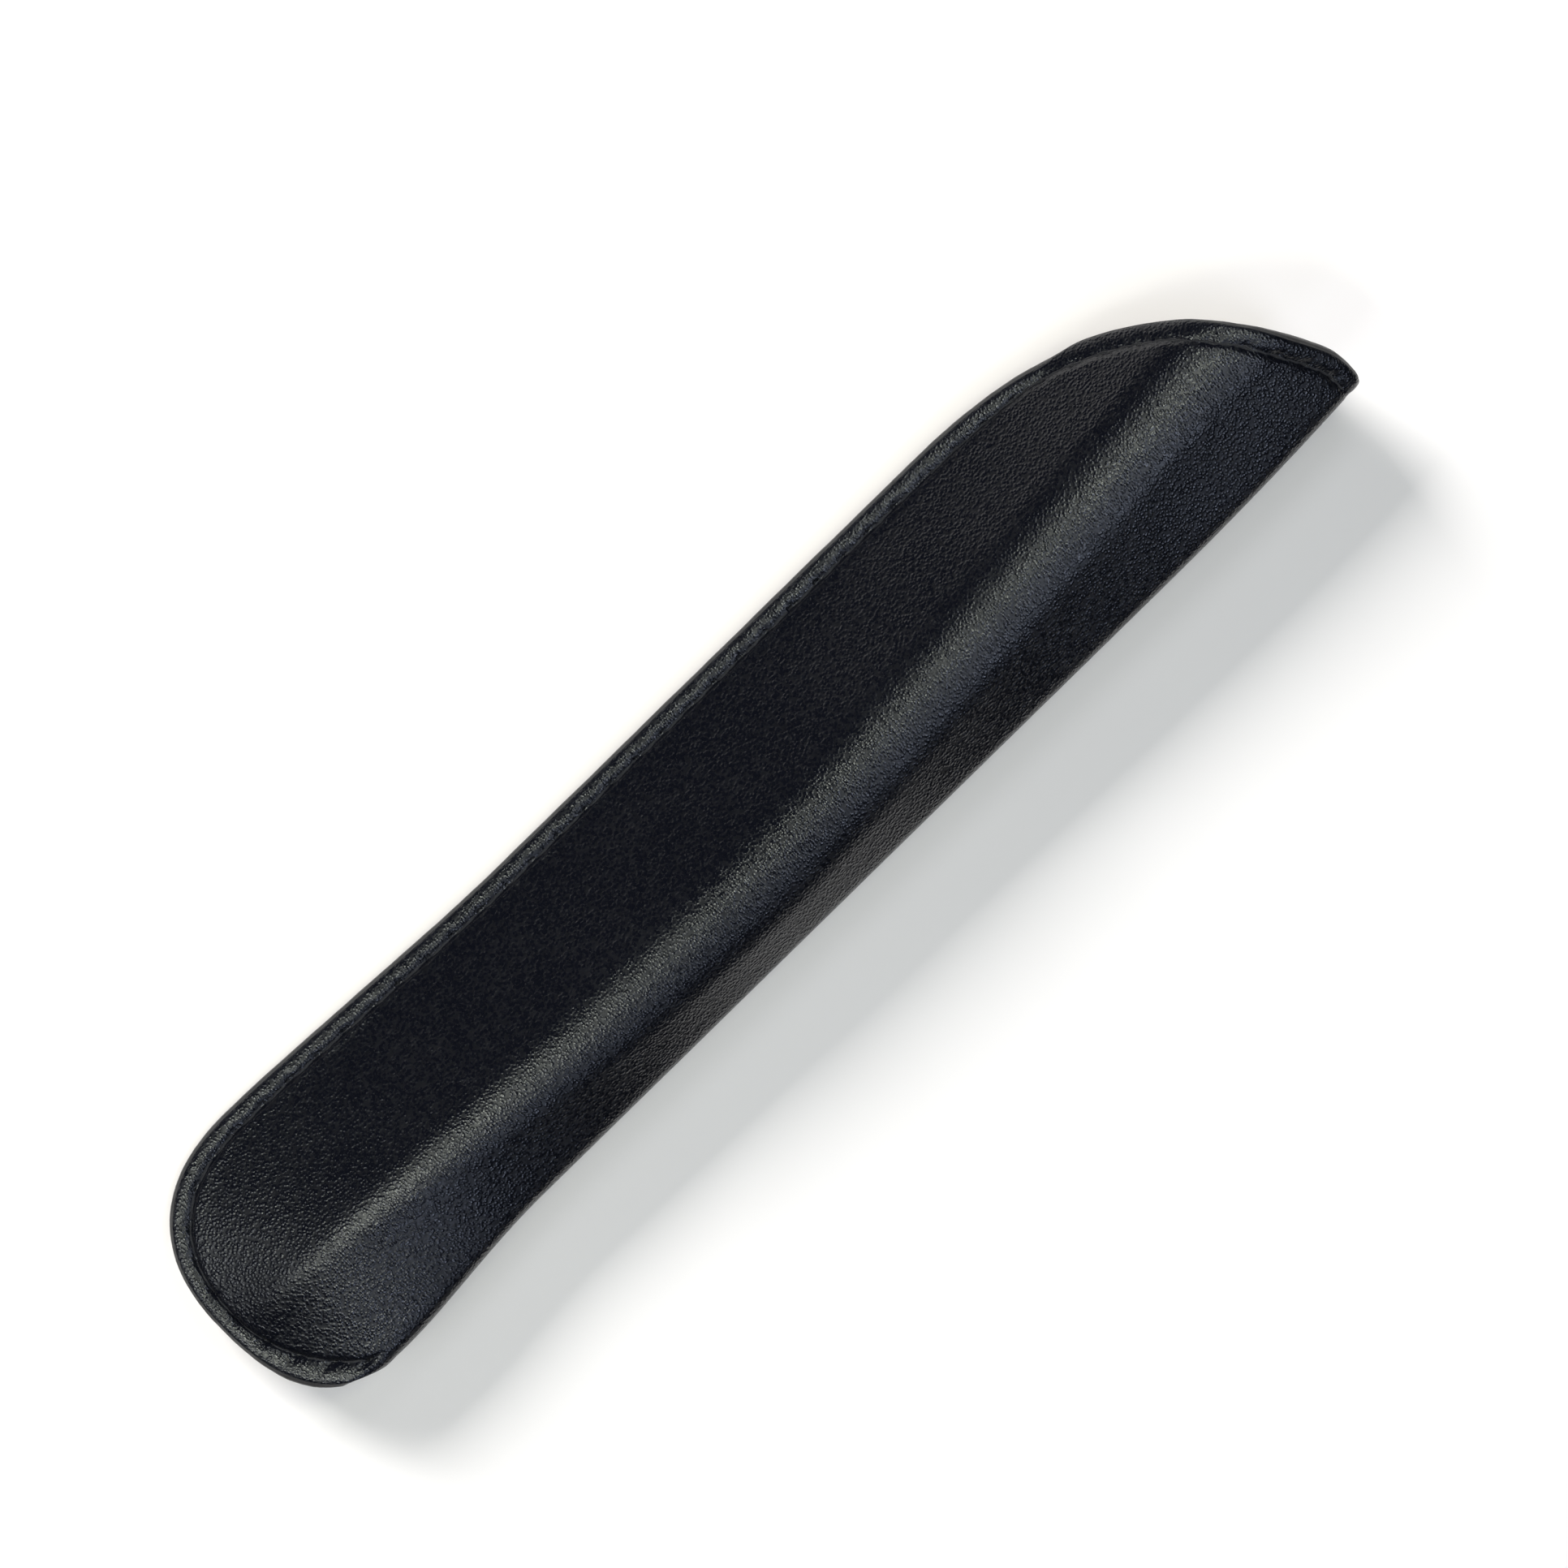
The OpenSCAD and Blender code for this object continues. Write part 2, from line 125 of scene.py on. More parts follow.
# A height near that at which the bottom curve meets the fold, and how often the equations of the
# meetings with the fold are repeated
FOLD_FOOT_Y = 10.0
MEETING_REPEATS, CROSSING_REPEATS = 4, 6
# Columns of the fold, and their shares of the way from the panel to its outermost line
FOLD_COLUMNS = 8
FOLD_SHARES = np.linspace(0, 1, FOLD_COLUMNS + 1)
# Turns the front panel's points and normals into the back one's
TO_BACK = np.array([1, 1, -1])
# Distance from the cut edge that stands for all that is far from it
FAR = 9.0
# Points nearer than these are one: on a polyline in millimetres, in a mesh in metres
SAME_POINT = 1e-9
WELD_DISTANCE = 1e-7
# Insets of the rings on each sheet, and the spacing of its points along the outline
SKIN_INSETS = (
    *(0.25, 0.3, 0.4, 0.55, 0.75, 1.0, 1.25, 1.5, 1.65, 1.8, 1.92, 2.05, 2.15, 2.3, 2.45),
    *(2.65, 2.9, 3.2, 3.6),
)
LINING_INSETS = (0.25, 0.6, 1.2, 2.0, 2.8, 3.6)
BOARD_INSETS = (0.5, 1.2, 2.0, 2.8, 3.6)
SKIN_STEP, LINING_STEP, BOARD_STEP = 0.44, 0.9, 1.6

# The skin's cut edge is rounded over this width and by this depth. Beside it is a slight crown of
# this height, with its middle at this inset and this reach to each side
EDGE_ROUND = 0.32
EDGE_DROP = 0.34
EDGE_CROWN = 0.05
CROWN_INSET = 1.05
CROWN_REACH = 0.6
# Slight waves of the panels: height, turns along and across in radians a millimetre, start
WAVES = ((0.020, 0.21, 0.35, 0.0), (0.014, 0.37, -0.52, 1.3), (0.010, 0.61, 0.18, 4.0))
# A panel's way over the pocket, for each millimetre of its width from above
PANEL_RUN = 1.09

# How the stitches mark the skin: the groove, the wider pull round a needle hole, the slit at the
# hole, which lies a little towards the cut edge, and the swelling beside a stitch's middle
GROOVE_WIDTH = 0.3
PULL_DEPTH, PULL_REACH = 0.06, 0.7
SLIT_DEPTH, SLIT_SHIFT, SLIT_WIDTH, SLIT_LENGTH = 0.34, 0.2, 0.38, 0.3
SWELL_RISE, SWELL_SHIFT, SWELL_WIDTH = 0.025, 0.75, 0.35
# Share of that mark along the mouth. Over the fold it is the first share at the outermost line,
# and gains the second towards the panel
HEM_MARK = 0.75
FOLD_MARK = (0.1, 0.65)
# The marks fade out over this distance round the middle of the gap between the side's row and the
# hem's, up to this far over the hem's start. The hem's stitches count from this far below it
ROW_FADE, ROW_FADE_TOP, ROW_START = 0.5, 2.0, 0.4
# The waves fade in over this width inside the hem's row
CALM_WIDTH = 1.5
# A line of stitches is kept in steps of this length
LINE_STEP = 0.06
# The edge paint's path is mixed from two outlines this far apart, in these numbers of steps
EDGE_SPAN = 0.5
EDGE_STEPS = {True: (70, 40), False: (100, 18, 18, 34)}
# Its sections, as insets and depths. It laps over the skin at the first insets, this far over it
PAINT_LAP = ((0.38, -0.01), (0.35, 0.02), (0.3, 0.03))
SIDE_PROFILE = ((0.25, 1.14), (0.16, 1.06), (0.08, 0.92), (0.03, 0.72), (0.005, 0.48), (0, 0.2))
SIDE_INNER = ((0.29, 0.0), (0.29, 0.9))
MOUTH_PROFILE = (
    *((0.25, 1.14), (0.15, 1.05), (0.07, 0.9), (0.02, 0.72), (0.0, 0.5), (0.02, 0.28)),
    *((0.08, 0.08), (0.2, -0.02), (0.36, -0.02), (0.44, 0.01), (0.3, 0.2), (0.3, 0.85)),
)
PAINT_RIPPLE = 0.012
# Its ripple is the sum of these sines: height, radians a step, start
RIPPLES = ((1.0, 0.31, 0.0), (0.7, 0.83, 1.0), (0.5, 1.9, 2.0))

# A thread's cross-section and the rings of each stitch
THREAD_SIDES = 15
THREAD_PLIES = 3
THREAD_LOBE = 0.12
THREAD_TURN = 3.6
RINGS_PER_STITCH = 26
STITCH_SLANT = 0.12
FILAMENTS = 14
# Half the gap between the two threads where they lock, and the depth of the inner stitches' tops
THREAD_GAP = 0.03
BOBBIN_TOP = -0.1
# Threads stay this far over the table
THREAD_CLEAR = 0.02

# Where soft noise lies, and its scale in spots a metre
NOISE_SPAN = (0.3, 0.7)
SKIN_CLOUDS, GRAIN_PATCHES, GRAIN_PORES, WEAR_AND_SHEEN_PATCHES = 110.0, 1300.0, 7000.0, 420.0
CLOTH_SLUBS, PAINT_STROKES, PAINT_SPECKS, THREAD_FUZZ = 300.0, 700.0, 2600.0, 1500.0
BOARD_FIBRES = (2600.0, 500.0, 2600.0)
PAPER_SPOTS = 60.0
# Height of the reliefs in millimetres
CLOTH_RELIEF, BOARD_RELIEF, PAINT_RELIEF, THREAD_RELIEF = 0.06, 0.02, 0.06, 0.012
# The skin's creases: their share of its colour, a painted shade, and how much rougher they are.
# Its worn edge, lighter where worn and with a painted sheen: share of the colour, lift and width
# in millimetres. Strength of both, and of the roughness's clouds and pebbles
CREASE_PAINTED_SHADE, CREASE_ROUGHNESS = 0.6, 0.14
RUBBED_AND_SHEEN_SHADE, RUBBED_AND_SHEEN_LIFT, RUBBED_AND_SHEEN_WIDTH = 1.8, 0.004, 1.1
CREASE_PAINTED_SHADE_STRENGTH, RUBBED_AND_SHEEN_STRENGTH = 0.6, 0.6
CLOUD_ROUGHNESS, PEBBLE_ROUGHNESS = 0.03, 0.05
# The fibre board's colours
BOARD_DARK, BOARD_LIGHT = (0.16, 0.13, 0.1, 1.0), (0.3, 0.25, 0.2, 1.0)

# The camera in the sleeve's frame: turned from the sleeve's length, over this point, at this
# distance and with this lens, in millimetres
CAMERA_TURN = math.radians(44.386)
CAMERA_AIM = (-11.67, 73.05)
CAMERA_DISTANCE = 550.0
CAMERA_LENS = 135.28
# The floor's half side and height in metres, its own light and its colours, and the light and
# colour of the surroundings
FLOOR_HALF = 1.5
FLOOR_Z = -0.00005
FLOOR_SHINE = 0.02
FLOOR_DARK, FLOOR_LIGHT = (0.825, 0.79, 0.76, 1), (0.835, 0.8, 0.77, 1)
WORLD_LIGHT = 0.03
WORLD_COLOUR = (0.68, 0.76, 1, 1)

# The key lamp: the point that it looks at, the direction that it stands in, distance and side in
# metres
KEY_AIM = (-12, 70, 0)
KEY_TOWARDS = (-0.72, 0.0, 0.69)
KEY_DISTANCE = 1.4
KEY_SIDE = 0.5
# The lamps that draw the long highlight: place along the sleeve in millimetres, lean towards the
# fold in degrees, width in metres, power in watts and colour. Below it their place across in
# millimetres, and their distance and length in metres
GREENISH, BLUISH, PALE = (0.95, 1.0, 0.88), (0.68, 0.77, 1.0), (0.9, 0.94, 1.0)
GLINT_LAMPS = (
    (215, -15, 0.06, 0.09, PALE),
    (156, 4, 0.06, 0.18, GREENISH),
    (152, 22, 0.05, 0.076, BLUISH),
    (152, 38, 0.05, 0.05, PALE),
    (152, 55, 0.06, 0.09, BLUISH),
    (-68, 1, 0.05, 0.17, GREENISH),
    (-65, 11, 0.05, 0.09, GREENISH),
    (-65, 22, 0.05, 0.11, PALE),
    (-65, 52, 0.06, 0.09, BLUISH),
    (-130, -14, 0.06, 0.07, PALE),
    (-210, -6, 0.08, 0.12, PALE),
)
GLINT_X = -10
GLINT_HEIGHT = 0.3
GLINT_LENGTH = 0.07


def smooth(t):
    """A curve that leaves 0 and reaches 1 level: three squares less two cubes."""
    c = np.clip(t, 0, 1)
    return c * c * (3 - 2 * c)


def mix(a, b, t):
    """The point a share t of the way from a to b."""
    return a + (b - a) * t


def flared(y, span):
    """0 above the first height of span, 1 below the second, with a smooth curve between."""
    return smooth((span[0] - y) / (span[0] - span[1]))


def left_x(y):
    """The seam side's outline: the sleeve's width, and the flare near the bottom."""
    return -SLEEVE_W - SEAM_FLARE * flared(y, SEAM_FLARE_Y)


def right_x(y):
    """The folded side's outline: a flare at the bottom and a slight bend in at the mouth."""
    return FOLD_FLARE * flared(y, FOLD_FLARE_Y) - FOLD_BEND * np.maximum(0, y - FOLD_BEND_Y) ** 2


def pocket_radius(y):
    """Radius of the round space inside, growing from the bottom as one less an exponential."""
    return POCKET_R * (1 - np.exp((POCKET_START - y) / POCKET_GROWTH))


def pocket_x(y):
    """Where the round space's middle lies across, nearest to the fold at RIDGE_Y."""
    to_mouth = RIDGE_TO_MOUTH * smooth((y - RIDGE_Y) / RIDGE_MOUTH_LEN)
    return RIDGE_X - to_mouth - RIDGE_TO_BOTTOM * smooth((RIDGE_Y - y) / RIDGE_BOTTOM_LEN)


def seam_y(x):
    """The bottom seam's height: a quarter superellipse on each side of its lowest point."""
    half_left = BOTTOM_X - left_x(BOTTOM_LEFT_Y) - SEAM_W
    left = hang(x, half_left, BOTTOM_LEFT_Y, BOTTOM_LEFT_Y - SEAM_W, LEFT_SQUARE)
    right = hang(x, SEAM_RIGHT_HALF, SEAM_RIGHT_Y, SEAM_RIGHT_Y - SEAM_W, 2)
    return np.where(x < BOTTOM_X, left, right)


def hang(x, half, centre_y, drop, square):
    """Height of a superellipse of the given half width, hanging by drop under its centre."""
    u = np.minimum(1, np.abs(x - BOTTOM_X) / half)
    return centre_y - drop * np.maximum(0, 1 - u**square) ** (1 / square)


def mouth_y(x, inset):
    """The mouth's curve, drawn in by inset: a superellipse, joined to a level top by the
    smooth minimum of the two."""
    far = MOUTH_FAR_X + SLEEVE_W - inset
    u = np.clip((MOUTH_FAR_X - x) / far, 0, 1)
    bow = MOUTH_BOW[0] + MOUTH_BOW[1] * inset
    full = MOUTH_FULL[0] + MOUTH_FULL[1] * inset
    y = MOUTH_START + (MOUTH_RISE - MOUTH_RISE_LOSS * inset) * (1 - u**bow) ** (1 / full)
    top = SLEEVE_LEN - inset
    h = np.clip(0.5 + 0.5 * (top - y) / MOUTH_BLEND, 0, 1)
    return mix(top, y, h) - MOUTH_BLEND * h * (1 - h)


def opened(x, y):
    """Share of its full height that the pocket has: one less the cube of what is left of the
    closing length above the bottom seam."""
    return 1 - (1 - np.clip((y - seam_y(x)) / CLOSING_LEN, 0, 1)) ** 3


def inside_w(x, y):
    """Height of a panel's inside over the middle plane: flat in the seam, a parabola, a
    straight web, the round, and a straight web down to the fold; the lips part at the mouth."""
    seam = left_x(y) + SEAM_W
    ridge = pocket_x(y)
    r = pocket_radius(y)
    fold = fold_x(y)
    up = np.arcsin(r / (ridge - seam - TURN_UP))
    down = np.arcsin((r - FOLD_R) / (fold - ridge))
    t = x - seam
    bend = t * t / (4 * TURN_UP) * np.tan(up)
    web = (t - TURN_UP) * np.tan(up)
    crown = np.sqrt(np.maximum(0, r * r - (x - ridge) ** 2))
    fall = FOLD_R * np.cos(down) + (fold + FOLD_R * np.sin(down) - x) * np.tan(down)
    h = np.where(x < ridge + r * np.sin(down), crown, fall)
    h = np.where(x < ridge - r * np.sin(up), web, h)
    h = np.where(t < 2 * TURN_UP, bend, h)
    h = np.where(t <= 0, 0, h)
    lip = LIP_RISE * np.maximum(0, y - SEAM_TOP) * np.clip((ridge - x) / (ridge - seam), 0, 1)
    return HALF_GAP + h * opened(x, y) + lip


def fold_x(y):
    """Centre line of the fold."""
    return right_x(y) - FOLD_R - WALL


def fold_open(y):
    """Share of its full radius that the fold has, pressed together at the bottom."""
    return opened(fold_x(y), y)


def fold_radius(y):
    """Inside radius of the fold."""
    return mix(HALF_GAP, FOLD_R, fold_open(y))


def fold_slope(y):
    """Slope at which a panel runs into the fold, in radians."""
    full = np.arcsin((pocket_radius(y) - FOLD_R) / (fold_x(y) - pocket_x(y)))
    return np.arctan(fold_open(y) * np.tan(full))


def fold_end(y):
    """Where a panel ends and the round of the fold begins."""
    return fold_x(y) + fold_radius(y) * np.sin(fold_slope(y))


def unit(v):
    """Vectors of length 1 along the last axis."""
    return v / np.linalg.norm(v, axis=-1, keepdims=True)


def panel_frame(x, y):
    """A front panel's inside points and the outward normals there, from central differences."""
    step = 0.35
    w = inside_w(x, y)
    sx = (inside_w(x + step, y) - inside_w(x - step, y)) / (2 * step)
    sy = (inside_w(x, y + step) - inside_w(x, y - step)) / (2 * step)
    return np.stack([x, y, w], -1), unit(np.stack([-sx, -sy, np.ones_like(w)], -1))


def fold_frame(share, y):
    """The fold's inside points and outward normals: an arc from the panel (share 0) to the
    outermost line (share 1). The panel's slope along y fades out towards that line."""
    start = math.pi / 2 - fold_slope(y)
    a = start * (1 - share)
    edge = panel_frame(fold_end(y), y)[1]
    ny = edge[..., 1] / np.hypot(edge[..., 0], edge[..., 2]) * np.sin(a) / np.sin(start)
    ring = np.stack([np.cos(a), np.zeros_like(a), np.sin(a)], -1)
    base = np.stack([fold_x(y), y, np.zeros_like(a)], -1) + fold_radius(y)[..., None] * ring
    return base, unit(ring + ny[..., None] * np.array([0, 1, 0]))


def turn(p):
    """Leans and pitches vectors of the sleeve's frame as it lies on the table."""
    x = p[..., 0] * math.cos(LEAN) - p[..., 2] * math.sin(LEAN)
    z = p[..., 0] * math.sin(LEAN) + p[..., 2] * math.cos(LEAN)
    y = p[..., 1] * math.cos(PITCH) - z * math.sin(PITCH)
    return np.stack([x, y, z * math.cos(PITCH) + p[..., 1] * math.sin(PITCH)], -1)


def lay(p, rise=0.0):
    """Puts points on the table, in metres. What would pass through it is pressed flat at its
    own depth under the outer face, rise."""
    q = turn(p - np.array([REST_MID[0], REST_MID[1], 0.0]))
    q[..., 2] = np.maximum(q[..., 2] + REST_HEIGHT - PRESS, rise)
    return q * MM


def run_along(points):
    """Distance run along a polyline up to each of its points."""
    steps = np.linalg.norm(np.diff(points, axis=0), axis=1)
    return np.concatenate([[0], np.cumsum(steps)])


def sampled(at, run, points):
    """Points of a polyline at the runs given by at."""
    return np.stack([np.interp(at, run, column) for column in points.T], -1)


def resample(points, count):
    """count + 1 points at equal steps along a polyline."""
    run = run_along(points)
    return sampled(np.linspace(0, run[-1], count + 1), run, points)


def distinct(points):
    """A polyline without the points that repeat the one before them."""
    return points[np.insert(np.diff(run_along(points)) > SAME_POINT, 0, True)]


def bottom_quarters(inset):
    """Half width, centre height, drop and squareness of the bottom curve's left and right
    quarters. The right one changes evenly from the cut edge's curve to the seam's."""
    k = (inset - PAINT_T) / (SEAM_W - PAINT_T)
    left = (BOTTOM_X - left_x(BOTTOM_LEFT_Y) - inset, BOTTOM_LEFT_Y, LEFT_SQUARE)
    right = (
        mix(BOTTOM_RIGHT_HALF - PAINT_T, SEAM_RIGHT_HALF, k),
        mix(BOTTOM_RIGHT_Y, SEAM_RIGHT_Y, k),
        mix(RIGHT_SQUARE, 2.0, k),
    )
    return left, right


def bottom_y(x, inset):
    """Height of the bottom curve's right quarter, drawn in by inset."""
    half, centre, square = bottom_quarters(inset)[1]
    return hang(x, half, centre, centre - inset, square)


def quarter(angle, side, half, centre, square, inset):
    """A quarter of the bottom curve on the left (side -1) or the right (side 1): a superellipse
    by its angle, 0 at its end and a right angle at its lowest point."""
    across = half * np.maximum(0, np.cos(angle)) ** (2 / square)
    down = (centre - inset) * np.sin(angle) ** (2 / square)
    return np.stack([BOTTOM_X + side * across, centre - down], -1)


def fold_meeting(curve, inset, y):
    """Where a curve drawn in by inset meets the panel's end at the fold, from a height near it,
    found by repeating the crossing's own equation."""
    x = fold_end(np.array(y))
    for _ in range(MEETING_REPEATS):
        x = fold_end(curve(x, inset))
    return x


def outline_stretches(inset):
    """The outline drawn in by inset, as six dense polylines: bottom curve to its lowest
    point, on to the corner's middle, up to the side, the side, the mouth's steep part
    and the mouth's flat part."""
    left, right = bottom_quarters(inset)
    end = (fold_meeting(bottom_y, inset, FOLD_FOOT_Y) - BOTTOM_X) / right[0]
    first = np.arccos(np.clip(end, 0, 1) ** (right[2] / 2))
    right = quarter(np.linspace(first, math.pi / 2, OUTLINE_POINTS), 1, *right, inset)
    left = quarter(np.linspace(math.pi / 2, 0, CORNER_STEPS + 1), -1, *left, inset)
    side_y = np.linspace(BOTTOM_LEFT_Y, MOUTH_START, OUTLINE_POINTS)
    side = np.stack([left_x(side_y) + inset, side_y], -1)
    top_x = fold_meeting(mouth_y, inset, SLEEVE_LEN)
    share = np.linspace(0, 1, MOUTH_STEPS + 1) ** 3
    lip_x = mix(left_x(MOUTH_START) + inset, top_x, share)
    lip = np.stack([lip_x, mouth_y(lip_x, inset)], -1)
    corner = int(CORNER_STEPS * CORNER_SPLIT / (math.pi / 2))
    steep = int(MOUTH_STEPS * MOUTH_SPLIT)
    return [right, left[: corner + 1], left[corner:], side, lip[: steep + 1], lip[steep:]]


def fold_crossing(share, inset, at_mouth):
    """Heights at which the outline drawn in by inset crosses the given shares of the fold,
    found by repeating the crossing's own equation."""
    y = np.full_like(share, SLEEVE_LEN if at_mouth else FOLD_FOOT_Y)
    for _ in range(CROSSING_REPEATS):
        a = (math.pi / 2 - fold_slope(y)) * (1 - share)
        x = fold_x(y) + (fold_radius(y) + WALL) * np.cos(a)
        y = mouth_y(x, inset) if at_mouth else bottom_y(x, inset)
    return y


class Grid:
    """One panel and half of the fold as a net of quads, on which every sheet is built.

    A ribbon of rings follows the outline at fixed insets, from the fold round the bottom and up
    the side to the mouth and back to the fold. A Coons patch fills the panel inside it. The
    fold's columns continue the rows of both. step is the spacing along the outline.
    """

    def __init__(self, step, insets):
        self.insets = np.asarray(insets, float)
        self.counts = self.split(step)
        self.stops = np.concatenate([[0], np.cumsum(self.counts)])
        rings = np.stack([self.ring(e) for e in self.insets])
        self.ring_frames = panel_frame(rings[..., 0], rings[..., 1])
        self.fill = self.coons(rings[-1])
        self.fill_frames = panel_frame(self.fill[..., 0], self.fill[..., 1])
        self.build_fold(rings)
        self.link()

    def split(self, step):
        """Number of steps in each stretch of the outline. The bottom and the top of the inner
        patch have equal numbers."""
        stretches = outline_stretches(self.insets[-1])
        n = [max(2, round(run_along(s)[-1] / step)) for s in stretches]
        n[5] = n[0] + n[1]
        return n

    def ring(self, inset):
        """The outline drawn in by inset, with each stretch in equal steps."""
        parts = [resample(s, n) for s, n in zip(outline_stretches(inset), self.counts)]
        return np.concatenate([parts[0], *[p[1:] for p in parts[1:]]])

    def coons(self, edge):
        """The inner patch: the sum of the two ruled surfaces between its opposite sides, less
        the bilinear one through its corners. Rows run from the bottom up, columns from the
        seam side to the fold."""
        low, high = self.stops[2], self.stops[5]
        bottom, left, top = edge[low::-1], edge[low : high + 1], edge[high:]
        fold_y = np.linspace(edge[0, 1], edge[-1, 1], len(left))
        right = np.stack([fold_end(fold_y), fold_y], -1)
        right[0], right[-1] = edge[0], edge[-1]
        v = np.linspace(0, 1, len(left))[:, None, None]
        u = np.linspace(0, 1, len(bottom))[None, :, None]
        ruled = mix(bottom[None], top[None], v) + mix(left[:, None], right[:, None], u)
        return ruled - mix(mix(left[0], right[0], u), mix(left[-1], right[-1], u), v)

    def build_fold(self, rings):
        """The fold's columns, over all its rows: the bottom rings, the patch and the top rings."""
        low = np.stack([fold_crossing(FOLD_SHARES, e, False) for e in self.insets])
        high = np.stack([fold_crossing(FOLD_SHARES, e, True) for e in self.insets])
        rows = np.linspace(0, 1, self.fill.shape[0])[1:-1, None]
        y = np.concatenate([low, mix(low[-1:], high[-1:], rows), high[::-1]])
        y[:, 0] = np.concatenate([rings[:, 0, 1], self.fill[1:-1, -1, 1], rings[::-1, -1, 1]])
        self.fold_y = y
        self.fold_share = np.broadcast_to(FOLD_SHARES, y.shape)
        self.fold_frames = fold_frame(self.fold_share, y)

    def link(self):
        """Numbers the points and lists the quads of a front half, outward side up."""
        rings, along = self.ring_frames[0].shape[:2]
        rows, cols = self.fill.shape[:2]
        low, high = self.stops[2], self.stops[5]
        ring_ids = np.arange(rings * along).reshape(rings, along)
        fill_ids = np.full((rows, cols), -1)
        fill_ids[0] = ring_ids[-1, low::-1]
        fill_ids[:, 0] = ring_ids[-1, low : high + 1]
        fill_ids[-1] = ring_ids[-1, high:]
        new = fill_ids < 0
        fill_ids[new] = rings * along + np.arange(new.sum())
        start = rings * along + new.sum()
        fold_rows, fold_cols = self.fold_y.shape
        fold_ids = np.full((fold_rows, fold_cols), -1)
        fold_ids[:, 0] = np.concatenate([ring_ids[:, 0], fill_ids[1:-1, -1], ring_ids[::-1, -1]])
        fold_ids[:, 1:] = start + np.arange(fold_rows * (fold_cols - 1)).reshape(fold_rows, -1)
        self.fill_new = new
        self.size = start + fold_rows * (fold_cols - 1)
        self.apex = fold_ids[:, -1]
        self.quads = np.concatenate([quads(ring_ids[::-1]), quads(fill_ids), quads(fold_ids)])
        self.border = np.concatenate([fold_ids[0, ::-1], ring_ids[0, 1:], fold_ids[-1, 1:]])
        self.ring_ids, self.fold_ids = ring_ids, fold_ids

    def spread(self, on_rings, on_fill, on_fold):
        """One array over all points from arrays on the rings, the patch and the fold."""
        rings, fold = (a.reshape(-1, *a.shape[2:]) for a in (on_rings, on_fold[:, 1:]))
        return np.concatenate([rings, on_fill[self.fill_new], fold])

    def frames(self):
        """The inside points and the outward normals of the front half."""
        parts = zip(self.ring_frames, self.fill_frames, self.fold_frames)
        return [self.spread(*three) for three in parts]

    def half(self, depth):
        """The points of the front half at the given depth over the inside (one value, or an
        array over all points)."""
        base, out = self.frames()
        base[self.fold_ids[:, 0]], out[self.fold_ids[:, 0]] = (a[:, 0] for a in self.fold_frames)
        return base + np.broadcast_to(depth, self.size)[:, None] * out

    def flat(self):
        """Pattern coordinates of the front half: distance across from the fold's outermost
        line and distance along, in millimetres."""
        across = self.fold_radius_run()
        ring_x = fold_end(self.ring_frames[0][..., 1]) - self.ring_frames[0][..., 0]
        fill_x = fold_end(self.fill[..., 1]) - self.fill[..., 0]
        start = across[0, 0]
        u = self.spread(start + ring_x * PANEL_RUN, start + fill_x * PANEL_RUN, across)
        v = self.spread(self.ring_frames[0][..., 1], self.fill[..., 1], self.fold_y)
        return np.stack([u, v], -1)

    def fold_radius_run(self):
        """Distance round the fold's middle layer from its outermost line."""
        radius = fold_radius(self.fold_y) + WALL / 2
        return radius * (math.pi / 2 - fold_slope(self.fold_y)) * (1 - self.fold_share)


def quads(ids):
    """Quads of a grid of point numbers whose rows run up and columns run right."""
    a, b, c, d = ids[:-1, :-1], ids[:-1, 1:], ids[1:, 1:], ids[1:, :-1]
    return np.stack([a, b, c, d], -1).reshape(-1, 4)


def put(name, data):
    """An object of the scene for a mesh, a lamp or a camera."""
    made = bpy.data.objects.new(name, data)
    bpy.context.scene.collection.objects.link(made)
    return made


def make_mesh(name, points, faces, uv=None, flags=None):
    """A mesh object at the origin from points in metres and quads or triangles. uv is one
    pair a point, in metres; flags are named values, one a point."""
    mesh = bpy.data.meshes.new(name)
    mesh.from_pydata(points.tolist(), [], faces)
    if uv is not None:
        layer = mesh.uv_layers.new(name="pattern")
        corners = np.zeros(len(mesh.loops), np.int32)
        mesh.loops.foreach_get("vertex_index", corners)
        layer.data.foreach_set("uv", uv[corners].astype(np.float32).ravel())
    for key, values in (flags or {}).items():
        layer = mesh.attributes.new(key, "FLOAT", "POINT")
        layer.data.foreach_set("value", np.asarray(values, np.float32))
    mesh.validate()
    mesh.shade_smooth()
    return put(name, mesh)


def closed(faces, border, count):
    """Faces of a closed sheet: those of its outer side, the same turned round for its inner
    side, whose points are numbered from count on, and quads that join their borders."""
    after = np.roll(border, -1)
    rim = np.stack([border, after, after + count, border + count], -1)
    return np.concatenate([faces, faces[:, ::-1] + count, rim]).tolist()


def sheet_between(name, grid, low, high, flags=None):
    """A closed sheet over both panels and the fold, between the depths low and high. The back
    half mirrors the front half and shares the fold's outermost line with it."""
    size = grid.size
    back = size + np.arange(size)
    back[grid.apex] = grid.apex
    keep = np.ones(2 * size, bool)
    keep[size + grid.apex] = False
    number = np.cumsum(keep) - 1
    skin = np.concatenate([grid.quads, back[grid.quads][:, ::-1]])
    border = np.concatenate([grid.border, back[grid.border][::-1][1:-1]])
    faces = closed(number[skin], number[border], int(keep.sum()))
    uv = grid.flat()
    layers = []
    for depth in (high, low):
        front = grid.half(depth)
        deep = np.tile(np.broadcast_to(depth, size), 2)
        both = lay(np.concatenate([front, front * TO_BACK]), np.maximum(0.0, WALL - deep))
        layers.append(both[keep])
    pattern = np.concatenate([uv, uv * np.array([-1, 1])])[keep] * MM
    marks = {k: np.tile(np.concatenate([v, v])[keep], 2) for k, v in (flags or {}).items()}
    return make_mesh(name, np.concatenate(layers), faces, np.tile(pattern, (2, 1)), marks)


